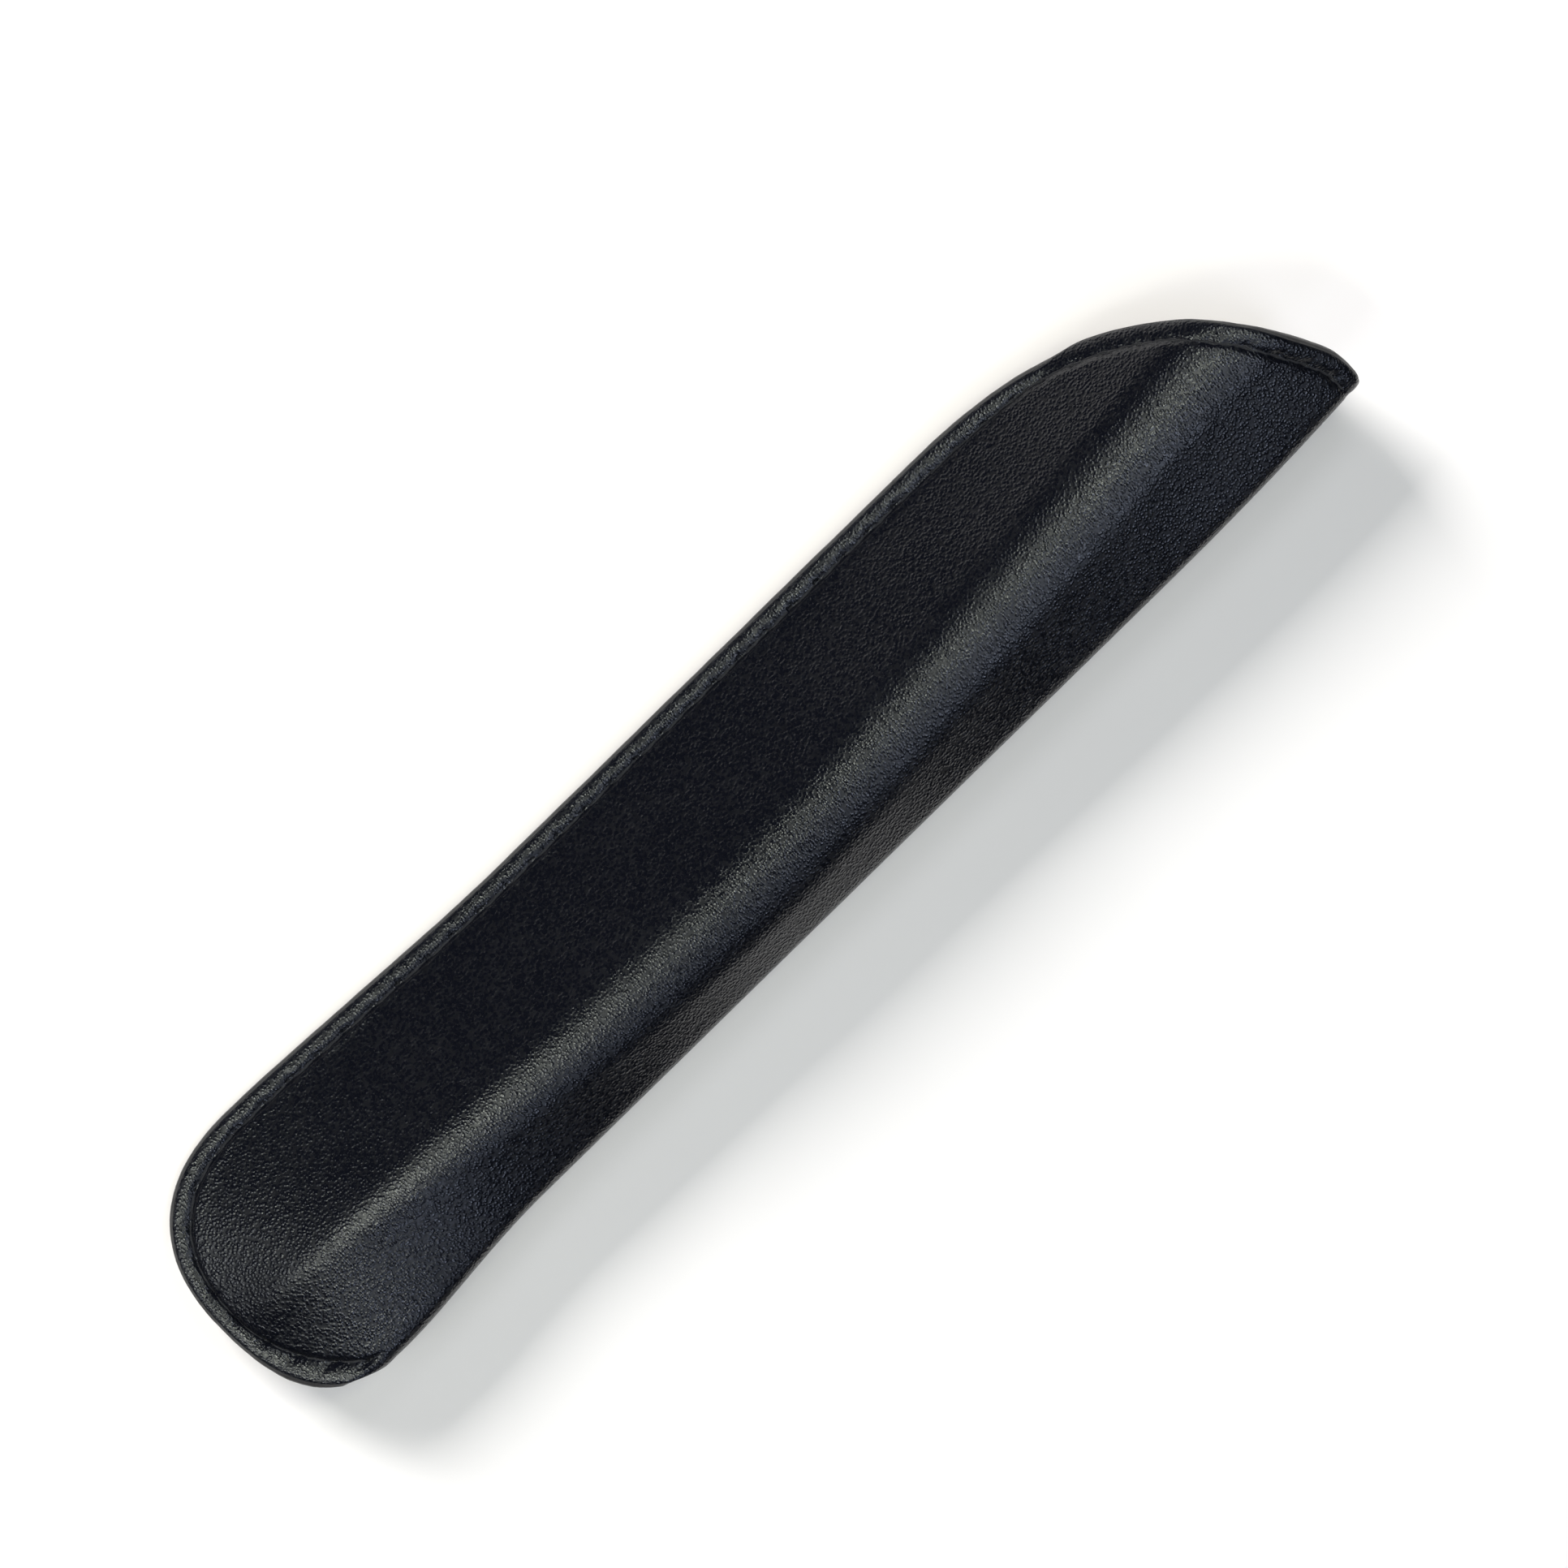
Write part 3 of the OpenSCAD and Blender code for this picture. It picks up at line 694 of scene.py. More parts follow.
class Stitching:
    """Where the stitches lie: each line is a row of inside points and outward normals with the
    distance run along it, in whole stitches."""

    def __init__(self, pitch):
        side = np.concatenate(outline_stretches(SEAM_W)[:5])[::-1]
        side = distinct(side[np.argmax(side[:, 1] < SEAM_TOP) :])
        self.side = self.measured(*panel_frame(*side.T), pitch)
        lip = np.concatenate(outline_stretches(HEM_W)[4:])
        lip = distinct(lip[lip[:, 1] > HEM_START_Y])
        share = np.linspace(0, 1, HEM_FOLD_POINTS)[1:]
        fold = fold_frame(share, fold_crossing(share, HEM_W, True))
        half = [np.concatenate(parts) for parts in zip(panel_frame(*lip.T), fold)]
        both = [np.concatenate([a, a[-2::-1] * TO_BACK]) for a in half]
        self.hem = self.measured(*both, pitch)
        self.hem_half = len(self.hem["run"]) // 2 + 1

    @staticmethod
    def measured(base, out, pitch):
        """A line with its run along the outer face scaled to a whole number of stitches."""
        run = run_along(base + WALL * out)
        count = max(1, round(run[-1] / pitch))
        at = np.linspace(0, run[-1], 2 * round(run[-1] / LINE_STEP / 2) + 1)
        base, out = sampled(at, run, base), unit(sampled(at, run, out))
        return {"base": base, "out": out, "run": at, "count": count}

    def phases(self, grid):
        """For the rings and the fold's bands of a grid: the stitch number there, and a mask of
        where a row of stitches is."""
        ring = grid.ring(SEAM_W)
        side, hem = self.side, self.hem
        top = grid.stops[4]
        at_side = nearest_run(ring, side, len(side["run"]))
        at_hem = nearest_run(ring, hem, self.hem_half)
        index = np.arange(len(ring))
        use_hem = (index > top) & (ring[:, 1] > HEM_START_Y - ROW_START)
        count = np.where(use_hem, at_hem * hem["count"], at_side * side["count"])
        ends = smooth(np.abs(ring[:, 1] - mix(SEAM_TOP, HEM_START_Y, 0.5)) / ROW_FADE)
        live = np.where((index > top) & (ring[:, 1] < HEM_START_Y + ROW_FADE_TOP), ends, 1.0)
        points = fold_frame(FOLD_SHARES, fold_crossing(FOLD_SHARES, HEM_W, True))[0]
        fold_hem = nearest_run(points, hem, self.hem_half) * hem["count"]
        return count, live, fold_hem


def nearest_run(points, line, limit):
    """Share of a line's run at the line's point nearest to each of the given points."""
    base = line["base"][:limit, : points.shape[1]]
    gap = ((points[:, None] - base[None]) ** 2).sum(-1)
    return line["run"][:limit][gap.argmin(1)] / line["run"][-1]


def bell(distance, width):
    """1 at no distance, falling off as the exponential of minus the square."""
    return np.exp(-((distance / width) ** 2))


def stitch_sink(across, number, live):
    """How far a row of stitches draws the skin in at a distance across from the row, where
    number counts the stitches and whole numbers are holes: a round groove, a wider pull and
    a slit at each whole number, less a slight swelling outside the middle of each stitch. live
    scales all of it."""
    pitch = bpy.context.scene.sleeve_sewing.pitch / MM
    along = (number - np.round(number)) * pitch
    near = bell(along, PULL_REACH)
    groove = bpy.context.scene.sleeve_sewing.groove / MM * bell(across, GROOVE_WIDTH)
    pull = PULL_DEPTH * bell(across, PULL_REACH) * near
    slit = SLIT_DEPTH * bell(across + SLIT_SHIFT, SLIT_WIDTH) * bell(along, SLIT_LENGTH)
    swell = SWELL_RISE * bell(across + SWELL_SHIFT, SWELL_WIDTH) * (1 - near)
    return (groove + pull + slit - swell) * live


def edge_sink(inset):
    """How far the skin's outer face is below its full height near a cut edge: a quarter
    ellipse at the edge, and a slight crown of the band beside the stitches."""
    q = np.clip((EDGE_ROUND + PAINT_T - inset) / EDGE_ROUND, 0, 1)
    crown = EDGE_CROWN * np.clip(1 - ((inset - CROWN_INSET) / CROWN_REACH) ** 2, 0, 1)
    return EDGE_DROP * (1 - np.sqrt(1 - q * q)) - crown


def skin_relief(points):
    """Slight waves of the panel, a sum of three slanting sines, in millimetres."""
    x, y = points[..., 0], points[..., 1]
    return sum(h * np.sin(along * y + across * x + start) for h, along, across, start in WAVES)


def skin_depth(grid, stitching):
    """Depth of the skin's outer face over the inside at every point of a grid, and the
    distance from the cut edge there."""
    count, live, fold_number = stitching.phases(grid)
    inset = grid.insets[:, None]
    seam = np.where(np.arange(len(count)) > grid.stops[4], HEM_W, SEAM_W)
    live = np.where(seam == HEM_W, HEM_MARK, 1.0) * live
    rings = edge_sink(inset) + stitch_sink(inset - seam, count[None], live[None])
    bands = len(grid.insets)
    near_panel = 1 - FOLD_SHARES
    fold = np.zeros_like(grid.fold_y)
    # The side seam ends on the fold between two holes
    low = stitch_sink(inset - SEAM_W, np.full((1, FOLD_COLUMNS + 1), 0.5), near_panel**4)
    fade = FOLD_MARK[0] + FOLD_MARK[1] * near_panel**2
    high = stitch_sink(inset - HEM_W, fold_number[None], fade)
    fold[:bands], fold[-bands:] = edge_sink(inset) + low, (edge_sink(inset) + high)[::-1]
    calm = smooth((inset - HEM_W) / CALM_WIDTH)
    calm_fold, edge = np.ones_like(fold), np.full_like(fold, FAR)
    calm_fold[:bands], calm_fold[-bands:] = calm, calm[::-1]
    edge[:bands], edge[-bands:] = inset, inset[::-1]
    rings = rings - skin_relief(grid.ring_frames[0]) * calm
    fold = fold - skin_relief(grid.fold_frames[0]) * calm_fold * (1 - grid.fold_share)
    far = np.full(grid.fill.shape[:2], FAR)
    distance = grid.spread(np.broadcast_to(inset, rings.shape), far, edge)
    return WALL - grid.spread(rings, -skin_relief(grid.fill_frames[0]), fold), distance


def tube(name, centre, side, up, radius, laps, turns_every):
    """A twisted thread: round its centre line, a three-lobed section whose lobes turn once
    every turns_every millimetres. UV runs round the thread and along it."""
    run = run_along(centre)
    angle = np.linspace(0, 2 * math.pi, laps, endpoint=False)[None]
    twist = 2 * math.pi * run[:, None] / turns_every
    r = radius * (1 + THREAD_LOBE * np.cos(THREAD_PLIES * (angle - twist)))
    ring = centre[:, None] + r[..., None] * (
        np.cos(angle)[..., None] * side[:, None] + np.sin(angle)[..., None] * up[:, None]
    )
    rows = len(centre)
    ids = np.arange(rows * laps).reshape(rows, laps)
    ids = np.concatenate([ids, ids[:, :1]], 1)
    faces = quads(ids).tolist()
    faces.append(ids[0, :-1][::-1].tolist())
    faces.append(ids[-1, :-1].tolist())
    uv = np.stack(np.broadcast_arrays(angle / (2 * math.pi), run[:, None]), -1).reshape(-1, 2)
    points = lay(ring.reshape(-1, 3), THREAD_CLEAR)
    return make_mesh(name, points, faces, uv * np.array([0.001, MM]))


def sew(name, line, hole, crown, mirror=1.0):
    """A thread along a line of stitches. Between two holes it rises from the depth hole to the
    depth crown and stays there: the square root of one less the third power of the distance
    from the stitch's middle."""
    sewing = bpy.context.scene.sleeve_sewing
    radius = sewing.thread / MM / 2
    per = RINGS_PER_STITCH
    phase = (1 - np.cos(math.pi * np.arange(per) / per)) / 2
    number = (np.arange(line["count"])[:, None] + phase).ravel()
    number = np.append(number, line["count"])
    phase = np.append(np.tile(phase, line["count"]), 1.0)
    at = number / line["count"] * line["run"][-1]
    base, out = [sampled(at, line["run"], line[k]) for k in ("base", "out")]
    out = unit(out)
    rise = np.sqrt(np.maximum(0, 1 - np.abs(2 * phase - 1) ** 3))
    heading = unit(np.gradient(base + WALL * out, axis=0))
    across = unit(np.cross(out, heading))
    slant = STITCH_SLANT * (2 * phase - 1) * rise
    centre = base + mix(hole, crown, rise)[:, None] * out + slant[:, None] * across
    turned = np.array([1, 1, mirror])
    centre, across = centre * turned, across * turned
    ahead = unit(np.gradient(centre, axis=0))
    across = unit(across - (across * ahead).sum(-1, keepdims=True) * ahead) * mirror
    up = np.cross(ahead, across)
    return tube(name, centre, across, up, radius, THREAD_SIDES, THREAD_TURN)


def edge_tracks(at_mouth):
    """The front half's path along a cut edge, from the seam side to the fold's outermost line,
    at the insets 0 and EDGE_SPAN: outline points, and heights on the fold's columns."""
    tracks = []
    for inset in (0.0, EDGE_SPAN):
        parts = outline_stretches(inset)
        parts = parts[4:] if at_mouth else [p[::-1] for p in parts[3::-1]]
        runs = [resample(p, n) for p, n in zip(parts, EDGE_STEPS[at_mouth])]
        line = np.concatenate([runs[0], *[r[1:] for r in runs[1:]]])
        tracks.append((line, fold_crossing(FOLD_SHARES[1:], inset, at_mouth)))
    return tracks


def edge_frames(tracks, inset):
    """Inside points and normals along a cut edge's path at the given insets, mixed from the
    two tracks."""
    (line, fold), (inner_line, inner_fold) = tracks
    t = np.broadcast_to(inset, len(line) + len(fold)) / EDGE_SPAN
    n = len(line)
    at = mix(line, inner_line, t[:n, None])
    y = mix(fold, inner_fold, t[n:])
    parts = zip(panel_frame(*at.T), fold_frame(FOLD_SHARES[1:], y))
    return [np.concatenate(pair) for pair in parts]


def edge_points(tracks, profile, ripple):
    """Points of a profile of (inset, depth) pairs carried along a cut edge's path. Outside the
    skin's edge the paint's thickness varies by ripple, a sum of three sines."""
    count = len(tracks[0][0]) + FOLD_COLUMNS
    i = np.arange(count)
    wave = sum(height * np.sin(rate * i + start) for height, rate, start in RIPPLES)
    rows = []
    for inset, depth in profile:
        share = max(0.0, 1 - inset / PAINT_T)
        base, out = edge_frames(tracks, inset + ripple * share * wave)
        rows.append(base + depth * out)
    return np.stack(rows)


def weld(piece):
    """Merges points that lie on each other and turns all faces outwards."""
    shape = bmesh.new()
    shape.from_mesh(piece.data)
    bmesh.ops.remove_doubles(shape, verts=shape.verts, dist=WELD_DISTANCE)
    bmesh.ops.recalc_face_normals(shape, faces=shape.faces)
    shape.to_mesh(piece.data)
    shape.free()
    return piece


def paint_lap():
    """The part of the edge paint's section that follows the skin's rounded edge."""
    return [(e, WALL - edge_sink(np.array(e)).item() + over) for e, over in PAINT_LAP]


def carried(name, ring):
    """A solid of a closed profile's points, one row each, carried over the columns of ring:
    quads and two end caps."""
    rows, columns = ring.shape[:2]
    ids = np.arange(rows * columns).reshape(rows, columns)
    ids = np.concatenate([ids, ids[:1]])
    caps = [ids[:-1, 0].tolist(), ids[:-1, -1][::-1].tolist()]
    faces = quads(ids)[:, ::-1].tolist() + caps
    return weld(make_mesh(name, lay(ring.reshape(-1, 3)), faces))


def side_bead(name):
    """Edge paint over both panels' cut edges: a rounded profile from front to back, closed
    inside the skin, carried from the mouth's start round the bottom and round the fold, where
    its two halves meet and are welded."""
    tracks = edge_tracks(False)
    front = edge_points(tracks, [*paint_lap(), *SIDE_PROFILE], PAINT_RIPPLE)
    inner = edge_points(tracks, SIDE_INNER, 0.0)
    back = [front[::-1] * TO_BACK, inner[::-1] * TO_BACK]
    return carried(name, np.concatenate([front, *back, inner]))


def mouth_bead(name):
    """Edge paint over the mouth's cut edge: a rounded profile from the skin to the lining,
    carried over the front, round the fold and down the back."""
    front = edge_points(edge_tracks(True), [*paint_lap(), *MOUTH_PROFILE], PAINT_RIPPLE)
    return carried(name, np.concatenate([front, front[:, -2::-1] * TO_BACK], 1))


def panel_sheet(name, grid, low, high, side):
    """A closed board inside one panel, between the depths low and high, on the front (side 1)
    or the back (side -1)."""
    rings, along = grid.ring_frames[0].shape[:2]
    count = rings * along + int(grid.fill_new.sum())
    flat_faces = grid.quads[(grid.quads < count).all(1)]
    base, out = (a[:count] for a in grid.frames())
    border = np.concatenate([grid.ring_ids[0], grid.fold_ids[-2:0:-1, 0]])
    turned = np.array([1, 1, side])
    points = [lay((base + d * out) * turned, WALL - d) for d in (high, low)]
    uv = np.tile(grid.flat()[:count] * MM, (2, 1))
    faces = closed(flat_faces, border, count)
    return weld(make_mesh(name, np.concatenate(points), faces, uv))


class Tree:
    """Short ways to add nodes to a shader tree and to join them."""

    def __init__(self, tree):
        self.tree = tree
        tree.nodes.clear()

    def add(self, kind, inputs=None, **settings):
        """A node of a kind, with its settings, its inputs' values or the sockets joined to
        them."""
        node = self.tree.nodes.new(kind)
        for key, value in settings.items():
            setattr(node, key, value)
        for key, value in (inputs or {}).items():
            if isinstance(value, bpy.types.NodeSocket):
                self.join(value, node.inputs[key])
            else:
                node.inputs[key].default_value = value
        return node

    def join(self, value, socket):
        """Joins an output to an input."""
        self.tree.links.new(value, socket)

    def math(self, operation, a, b=0.0):
        """The result of a Math node."""
        return self.add("ShaderNodeMath", {0: a, 1: b}, operation=operation).outputs[0]

    def times(self, a, b):
        """A product."""
        return self.math("MULTIPLY", a, b)

    def plus(self, a, b):
        """A sum."""
        return self.math("ADD", a, b)

    def span(self, value, low, high, start=0.0, end=1.0):
        """A value between low and high, carried to start and end."""
        given = {0: value, 1: low, 2: high, 3: start, 4: end}
        return self.add("ShaderNodeMapRange", given).outputs[0]

    def blend(self, factor, a, b):
        """A colour between a and b."""
        given = {0: factor, 6: a, 7: b}
        return self.add("ShaderNodeMix", given, data_type="RGBA").outputs[2]

    def noise(self, vector, scale, detail=2.0):
        """Soft noise, which lies about within NOISE_SPAN."""
        given = {"Vector": vector, "Scale": scale, "Detail": detail}
        return self.add("ShaderNodeTexNoise", given).outputs[0]

    def effect(self, name, build, **values):
        """The outputs of a node group with its own values. build makes it if it isn't there."""
        made = bpy.data.node_groups.get(name) or build()
        return self.add("ShaderNodeGroup", values, node_tree=made).outputs

    def surface(self, shader, colour, rough, height, rise):
        """Joins a colour, a roughness and a height map to a shader. rise is the map's height at
        1, in millimetres."""
        given = {"Height": height, "Distance": rise * MM, "Strength": 1.0}
        normal = self.add("ShaderNodeBump", given).outputs[0]
        for key, value in (("Base Color", colour), ("Roughness", rough), ("Normal", normal)):
            self.join(value, shader.inputs[key])


def group(name, inputs, outputs):
    """A shader node group with named inputs and outputs, its tree, the sockets that bring the
    inputs and the node that takes the outputs."""
    made = bpy.data.node_groups.new(name, "ShaderNodeTree")
    tree = Tree(made)
    for key, kind, value in inputs:
        socket = made.interface.new_socket(key, in_out="INPUT", socket_type="NodeSocket" + kind)
        if value is not None:
            socket.default_value = value
    for key, kind in outputs:
        made.interface.new_socket(key, in_out="OUTPUT", socket_type="NodeSocket" + kind)
    ends = tree.add("NodeGroupInput"), tree.add("NodeGroupOutput")
    return made, tree, ends[0].outputs, ends[1]


def grain_group():
    """Embossed grain: small domes from the squared distance to the nearest Voronoi point,
    uneven in height, with finer pores as noise. Crease is 1 between the domes, and Pebble a
    value of its own for each."""
    fields = [("Vector", "Vector", None), ("Cells", "Float", 3200.0)]
    values = [("Height", "Float"), ("Crease", "Float"), ("Pebble", "Float")]
    made, tree, given, ends = group("grain", fields, values)
    cell = {"Vector": given["Vector"], "Scale": given["Cells"], "Smoothness": 0.25}
    near = tree.add("ShaderNodeTexVoronoi", cell, feature="SMOOTH_F1")
    gap = near.outputs["Distance"]
    square = tree.times(gap, gap)
    dome = tree.span(square, 0.0, 0.45, 1.0, 0.0)
    patch = tree.span(tree.noise(given["Vector"], GRAIN_PATCHES, 1.0), *NOISE_SPAN, 0.6, 1.0)
    pores = tree.times(tree.noise(given["Vector"], GRAIN_PORES, 1.0), 0.3)
    height = tree.plus(tree.times(dome, patch), pores)
    tree.join(height, ends.inputs["Height"])
    tree.join(tree.span(dome, 0.0, 0.4, 1.0, 0.0), ends.inputs["Crease"])
    parts = tree.add("ShaderNodeSeparateColor", {0: near.outputs["Color"]})
    tree.join(parts.outputs[0], ends.inputs["Pebble"])
    return made


def wear_and_sheen_group():
    """Worn edges with a painted sheen: 1 along a cut edge, fading by Reach, broken up by noise."""
    fields = [("Vector", "Vector", None), ("Distance", "Float", FAR), ("Reach", "Float", 1.0)]
    made, tree, given, ends = group("edge_wear_and_sheen", fields, [("Mask", "Float")])
    near = tree.math("DIVIDE", given["Distance"], given["Reach"])
    near = tree.span(near, 0.3, 1.0, 1.0, 0.0)
    patch = tree.span(tree.noise(given["Vector"], WEAR_AND_SHEEN_PATCHES, 5.0), 0.35, 0.65)
    tree.join(tree.times(near, patch), ends.inputs["Mask"])
    return made


def weave_group():
    """Plain weave over a pattern in metres: two rows of threads as sines, the one over the
    other in turn."""
    fields = [("Vector", "Vector", None), ("Threads", "Float", 2500.0)]
    made, tree, given, ends = group("weave", fields, [("Height", "Float"), ("Over", "Float")])
    parts = tree.add("ShaderNodeSeparateXYZ", {0: given["Vector"]}).outputs
    waves = []
    turns = tree.times(given["Threads"], math.pi)
    for axis in (0, 1):
        waves.append(tree.math("SINE", tree.times(parts[axis], turns)))
    over = tree.math("GREATER_THAN", tree.times(*waves), 0.0)
    rows = [tree.math("ABSOLUTE", w) for w in waves]
    mask = tree.add("ShaderNodeMix", {0: over, 2: rows[0], 3: rows[1]}).outputs[0]
    tree.join(mask, ends.inputs["Height"])
    tree.join(over, ends.inputs["Over"])
    return made


def finish(name, roughness, **constants):
    """A material, its tree and its Principled shader, with constants on the shader's own
    sockets. Object coordinates come back last."""
    made = bpy.data.materials.new(name)
    made.use_nodes = True
    tree = Tree(made.node_tree)
    shader = tree.add("ShaderNodeBsdfPrincipled", {"Roughness": roughness})
    for key, value in constants.items():
        shader.inputs[key.replace("_", " ")].default_value = value
    tree.add("ShaderNodeOutputMaterial", {"Surface": shader.outputs[0]})
    where = tree.add("ShaderNodeTexCoord").outputs["Object"]
    return made, tree, shader, where


def tint(colour, scale=1.0, lift=0.0):
    """A colour times scale, plus lift, as a socket takes it."""
    return (*(scale * part + lift for part in colour), 1.0)


def skin_finish():
    """Grained artificial leather: near black, satin tops, rougher creases darkened with a painted
    shade, lighter near the cut edges where worn and with a painted sheen."""
    look = bpy.context.scene.sleeve_finish
    made, tree, shader, where = finish("grained_skin", 0.45, Specular_IOR_Level=0.5)
    grain = tree.effect("grain", grain_group, Vector=where, Cells=1 / look.grain)
    edge = tree.add("ShaderNodeAttribute", attribute_name="edge_distance").outputs["Fac"]
    wear_and_sheen = tree.effect("edge_wear_and_sheen", wear_and_sheen_group, Vector=where, Distance=edge, Reach=RUBBED_AND_SHEEN_WIDTH)
    base, dull = tint(look.skin_colour), tint(look.skin_colour, CREASE_PAINTED_SHADE)
    rubbed_and_sheen = tint(look.skin_colour, RUBBED_AND_SHEEN_SHADE, RUBBED_AND_SHEEN_LIFT)
    # The creases between the domes are darkened with a painted shade
    colour = tree.blend(tree.times(grain["Crease"], CREASE_PAINTED_SHADE_STRENGTH), base, dull)
    # The cut edges are made lighter where worn, and partly as a painted sheen
    colour = tree.blend(tree.times(wear_and_sheen["Mask"], RUBBED_AND_SHEEN_STRENGTH), colour, rubbed_and_sheen)
    cloud = tree.span(tree.noise(where, SKIN_CLOUDS, 4.0), *NOISE_SPAN)
    ends = [look.skin_roughness + sign * CLOUD_ROUGHNESS for sign in (-1, 1)]
    rough = tree.plus(tree.span(cloud, 0, 1, *ends), tree.times(grain["Crease"], CREASE_ROUGHNESS))
    pebble = tree.span(grain["Pebble"], 0.2, 0.8, -PEBBLE_ROUGHNESS, PEBBLE_ROUGHNESS)
    rough = tree.plus(rough, pebble)
    tree.surface(shader, colour, rough, grain["Height"], look.grain_depth / MM)
    return made


def lining_finish():
    """Plain-woven lining cloth, dark, with its weave on the pattern coordinates."""
    look = bpy.context.scene.sleeve_finish
    made, tree, shader, where = finish("lining_cloth", 0.75, Sheen_Weight=0.15)
    pattern = tree.add("ShaderNodeUVMap", uv_map="pattern").outputs[0]
    weave = tree.effect("weave", weave_group, Vector=pattern)
    shade = tree.times(weave["Height"], tree.noise(where, CLOTH_SLUBS, 4.0))
    colour = tree.blend(shade, tint(look.lining_colour), tint(look.lining_colour, 1.7))
    rough = tree.span(weave["Over"], 0.0, 1.0, 0.7, 0.8)
    tree.surface(shader, colour, rough, weave["Height"], CLOTH_RELIEF)
    return made


def board_finish():
    """Pressed fibre board: grey-brown, with short fibres as stretched noise."""
    made, tree, shader, where = finish("fibre_board", 0.85)
    drawn = tree.add("ShaderNodeMapping", {"Vector": where, "Scale": BOARD_FIBRES})
    fibres = tree.noise(drawn.outputs[0], 1.0, 3.0)
    colour = tree.blend(fibres, BOARD_DARK, BOARD_LIGHT)
    rough = tree.span(fibres, *NOISE_SPAN, 0.8, 0.95)
    tree.surface(shader, colour, rough, fibres, BOARD_RELIEF)
    return made


def paint_finish():
    """Edge paint: a satin film with brush ripples and dull specks."""
    look = bpy.context.scene.sleeve_finish
    made, tree, shader, where = finish("edge_paint", 0.4, Specular_IOR_Level=0.5)
    ripple = tree.noise(where, PAINT_STROKES, 3.0)
    specks = tree.span(tree.noise(where, PAINT_SPECKS), 0.55, 0.7)
    colour = tree.blend(specks, tint(look.paint_colour), tint(look.paint_colour, 1.6, 0.002))
    rough = tree.plus(tree.span(ripple, *NOISE_SPAN, 0.36, 0.5), tree.times(specks, 0.1))
    tree.surface(shader, colour, rough, ripple, PAINT_RELIEF)
    return made


def thread_finish():
    """Bonded thread: fine filaments wound along each ply, from the pattern coordinates."""
    look = bpy.context.scene.sleeve_finish
    made, tree, shader, where = finish("bonded_thread", 0.5, Sheen_Weight=0.2, Sheen_Roughness=0.4)
    pattern = tree.add("ShaderNodeUVMap", uv_map="pattern").outputs[0]
    around, along = tree.add("ShaderNodeSeparateXYZ", {0: pattern}).outputs[:2]
    wound = tree.math("SUBTRACT", tree.times(around, 1 / MM), tree.times(along, 0.9 / MM))
    lines = tree.math("SINE", tree.times(wound, 2 * math.pi * FILAMENTS))
    lines = tree.span(lines, -1.0, 1.0)
    shade = tree.times(lines, tree.span(tree.noise(where, THREAD_FUZZ), *NOISE_SPAN))
    colour = tree.blend(shade, tint(look.thread_colour), tint(look.thread_colour, 2.2))
    rough = tree.span(lines, 0.0, 1.0, 0.58, 0.42)
    tree.surface(shader, colour, rough, lines, THREAD_RELIEF)
    return made


def place(piece, material, slot, *nodes):
    """Gives a piece its material and its body, and lets it stand for CAD nodes. slot is not used.
    """
    piece.data.materials.append(material)
    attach(piece, "root")
    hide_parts(*nodes)


class SleeveSewing(bpy.types.PropertyGroup):
    """Sizes of the sewing."""

    pitch: FloatProperty(
        name="Stitch length",
        description="Distance from one needle hole to the next",
        default=0.0034,
        min=0.002,
        max=0.006,
        unit="LENGTH",
    )
    thread: FloatProperty(
        name="Thread diameter",
        description="Diameter of the sewing thread",
        default=0.00042,
        min=0.0003,
        max=0.0006,
        unit="LENGTH",
    )
    groove: FloatProperty(
        name="Groove depth",
        description="How far the stitches pull the skin in",
        default=0.00025,
        min=0.0001,
        max=0.0004,
        unit="LENGTH",
    )


class SleeveFinish(bpy.types.PropertyGroup):
    """Colours and surfaces of the materials."""

    skin_colour: FloatVectorProperty(
        name="Skin",
        description="Colour of the grained skin",
        subtype="COLOR",
        default=(0.0017, 0.002, 0.0036),
        min=0,
        max=1,
    )
    lining_colour: FloatVectorProperty(
        name="Lining",
        description="Colour of the lining cloth",
        subtype="COLOR",
        default=(0.012, 0.012, 0.014),
        min=0,
        max=1,
    )
    paint_colour: FloatVectorProperty(
        name="Edge paint",
        description="Colour of the painted cut edges",
        subtype="COLOR",
        default=(0.005, 0.005, 0.006),
        min=0,
        max=1,
    )
    thread_colour: FloatVectorProperty(
        name="Thread",
        description="Colour of the sewing thread",
        subtype="COLOR",
        default=(0.004, 0.004, 0.005),
        min=0,
        max=1,
    )
    grain: FloatProperty(
        name="Grain size",
        description="Width of one pebble of the skin's grain",
        default=0.00031,
        min=0.0002,
        max=0.002,
        unit="LENGTH",
    )
    grain_depth: FloatProperty(
        name="Grain depth",
        description="Height of the pebbles over their creases",
        default=0.00004,
        min=0.0,
        max=0.0002,
        unit="LENGTH",
    )
    skin_roughness: FloatProperty(
        name="Skin roughness",
        description="Roughness of the skin's pebbles",
        subtype="FACTOR",
        default=0.23,
        min=0,
        max=1,
    )


class SleeveLight(bpy.types.PropertyGroup):
    """Strengths of the lamps."""

    key: FloatProperty(
        name="Key",
        description="Power of the lamp that casts the shadow",
        subtype="POWER",
        default=30.5,
        min=0,
    )
    glint: FloatProperty(
        name="Glints",
        description="Strength of the lamps that draw the long highlight",
        subtype="FACTOR",
        default=1.0,
        min=0,
        max=4,
    )


class SLEEVE_OT_skin(bpy.types.Operator):
    """Make the grained skin with its drawn-in stitch lines"""

    bl_idname = "sleeve.skin"
    bl_label = "Skin"

    def execute(self, context):
        grid = Grid(SKIN_STEP, SKIN_INSETS)
        depth, edge = skin_depth(grid, Stitching(context.scene.sleeve_sewing.pitch / MM))
        low = LINING_T + STIFFENER_T
        piece = sheet_between("skin_sheet", grid, low, depth, {"edge_distance": edge})
        place(piece, skin_finish(), "skin", "outer_skin")
        declare(grid)
        return {"FINISHED"}


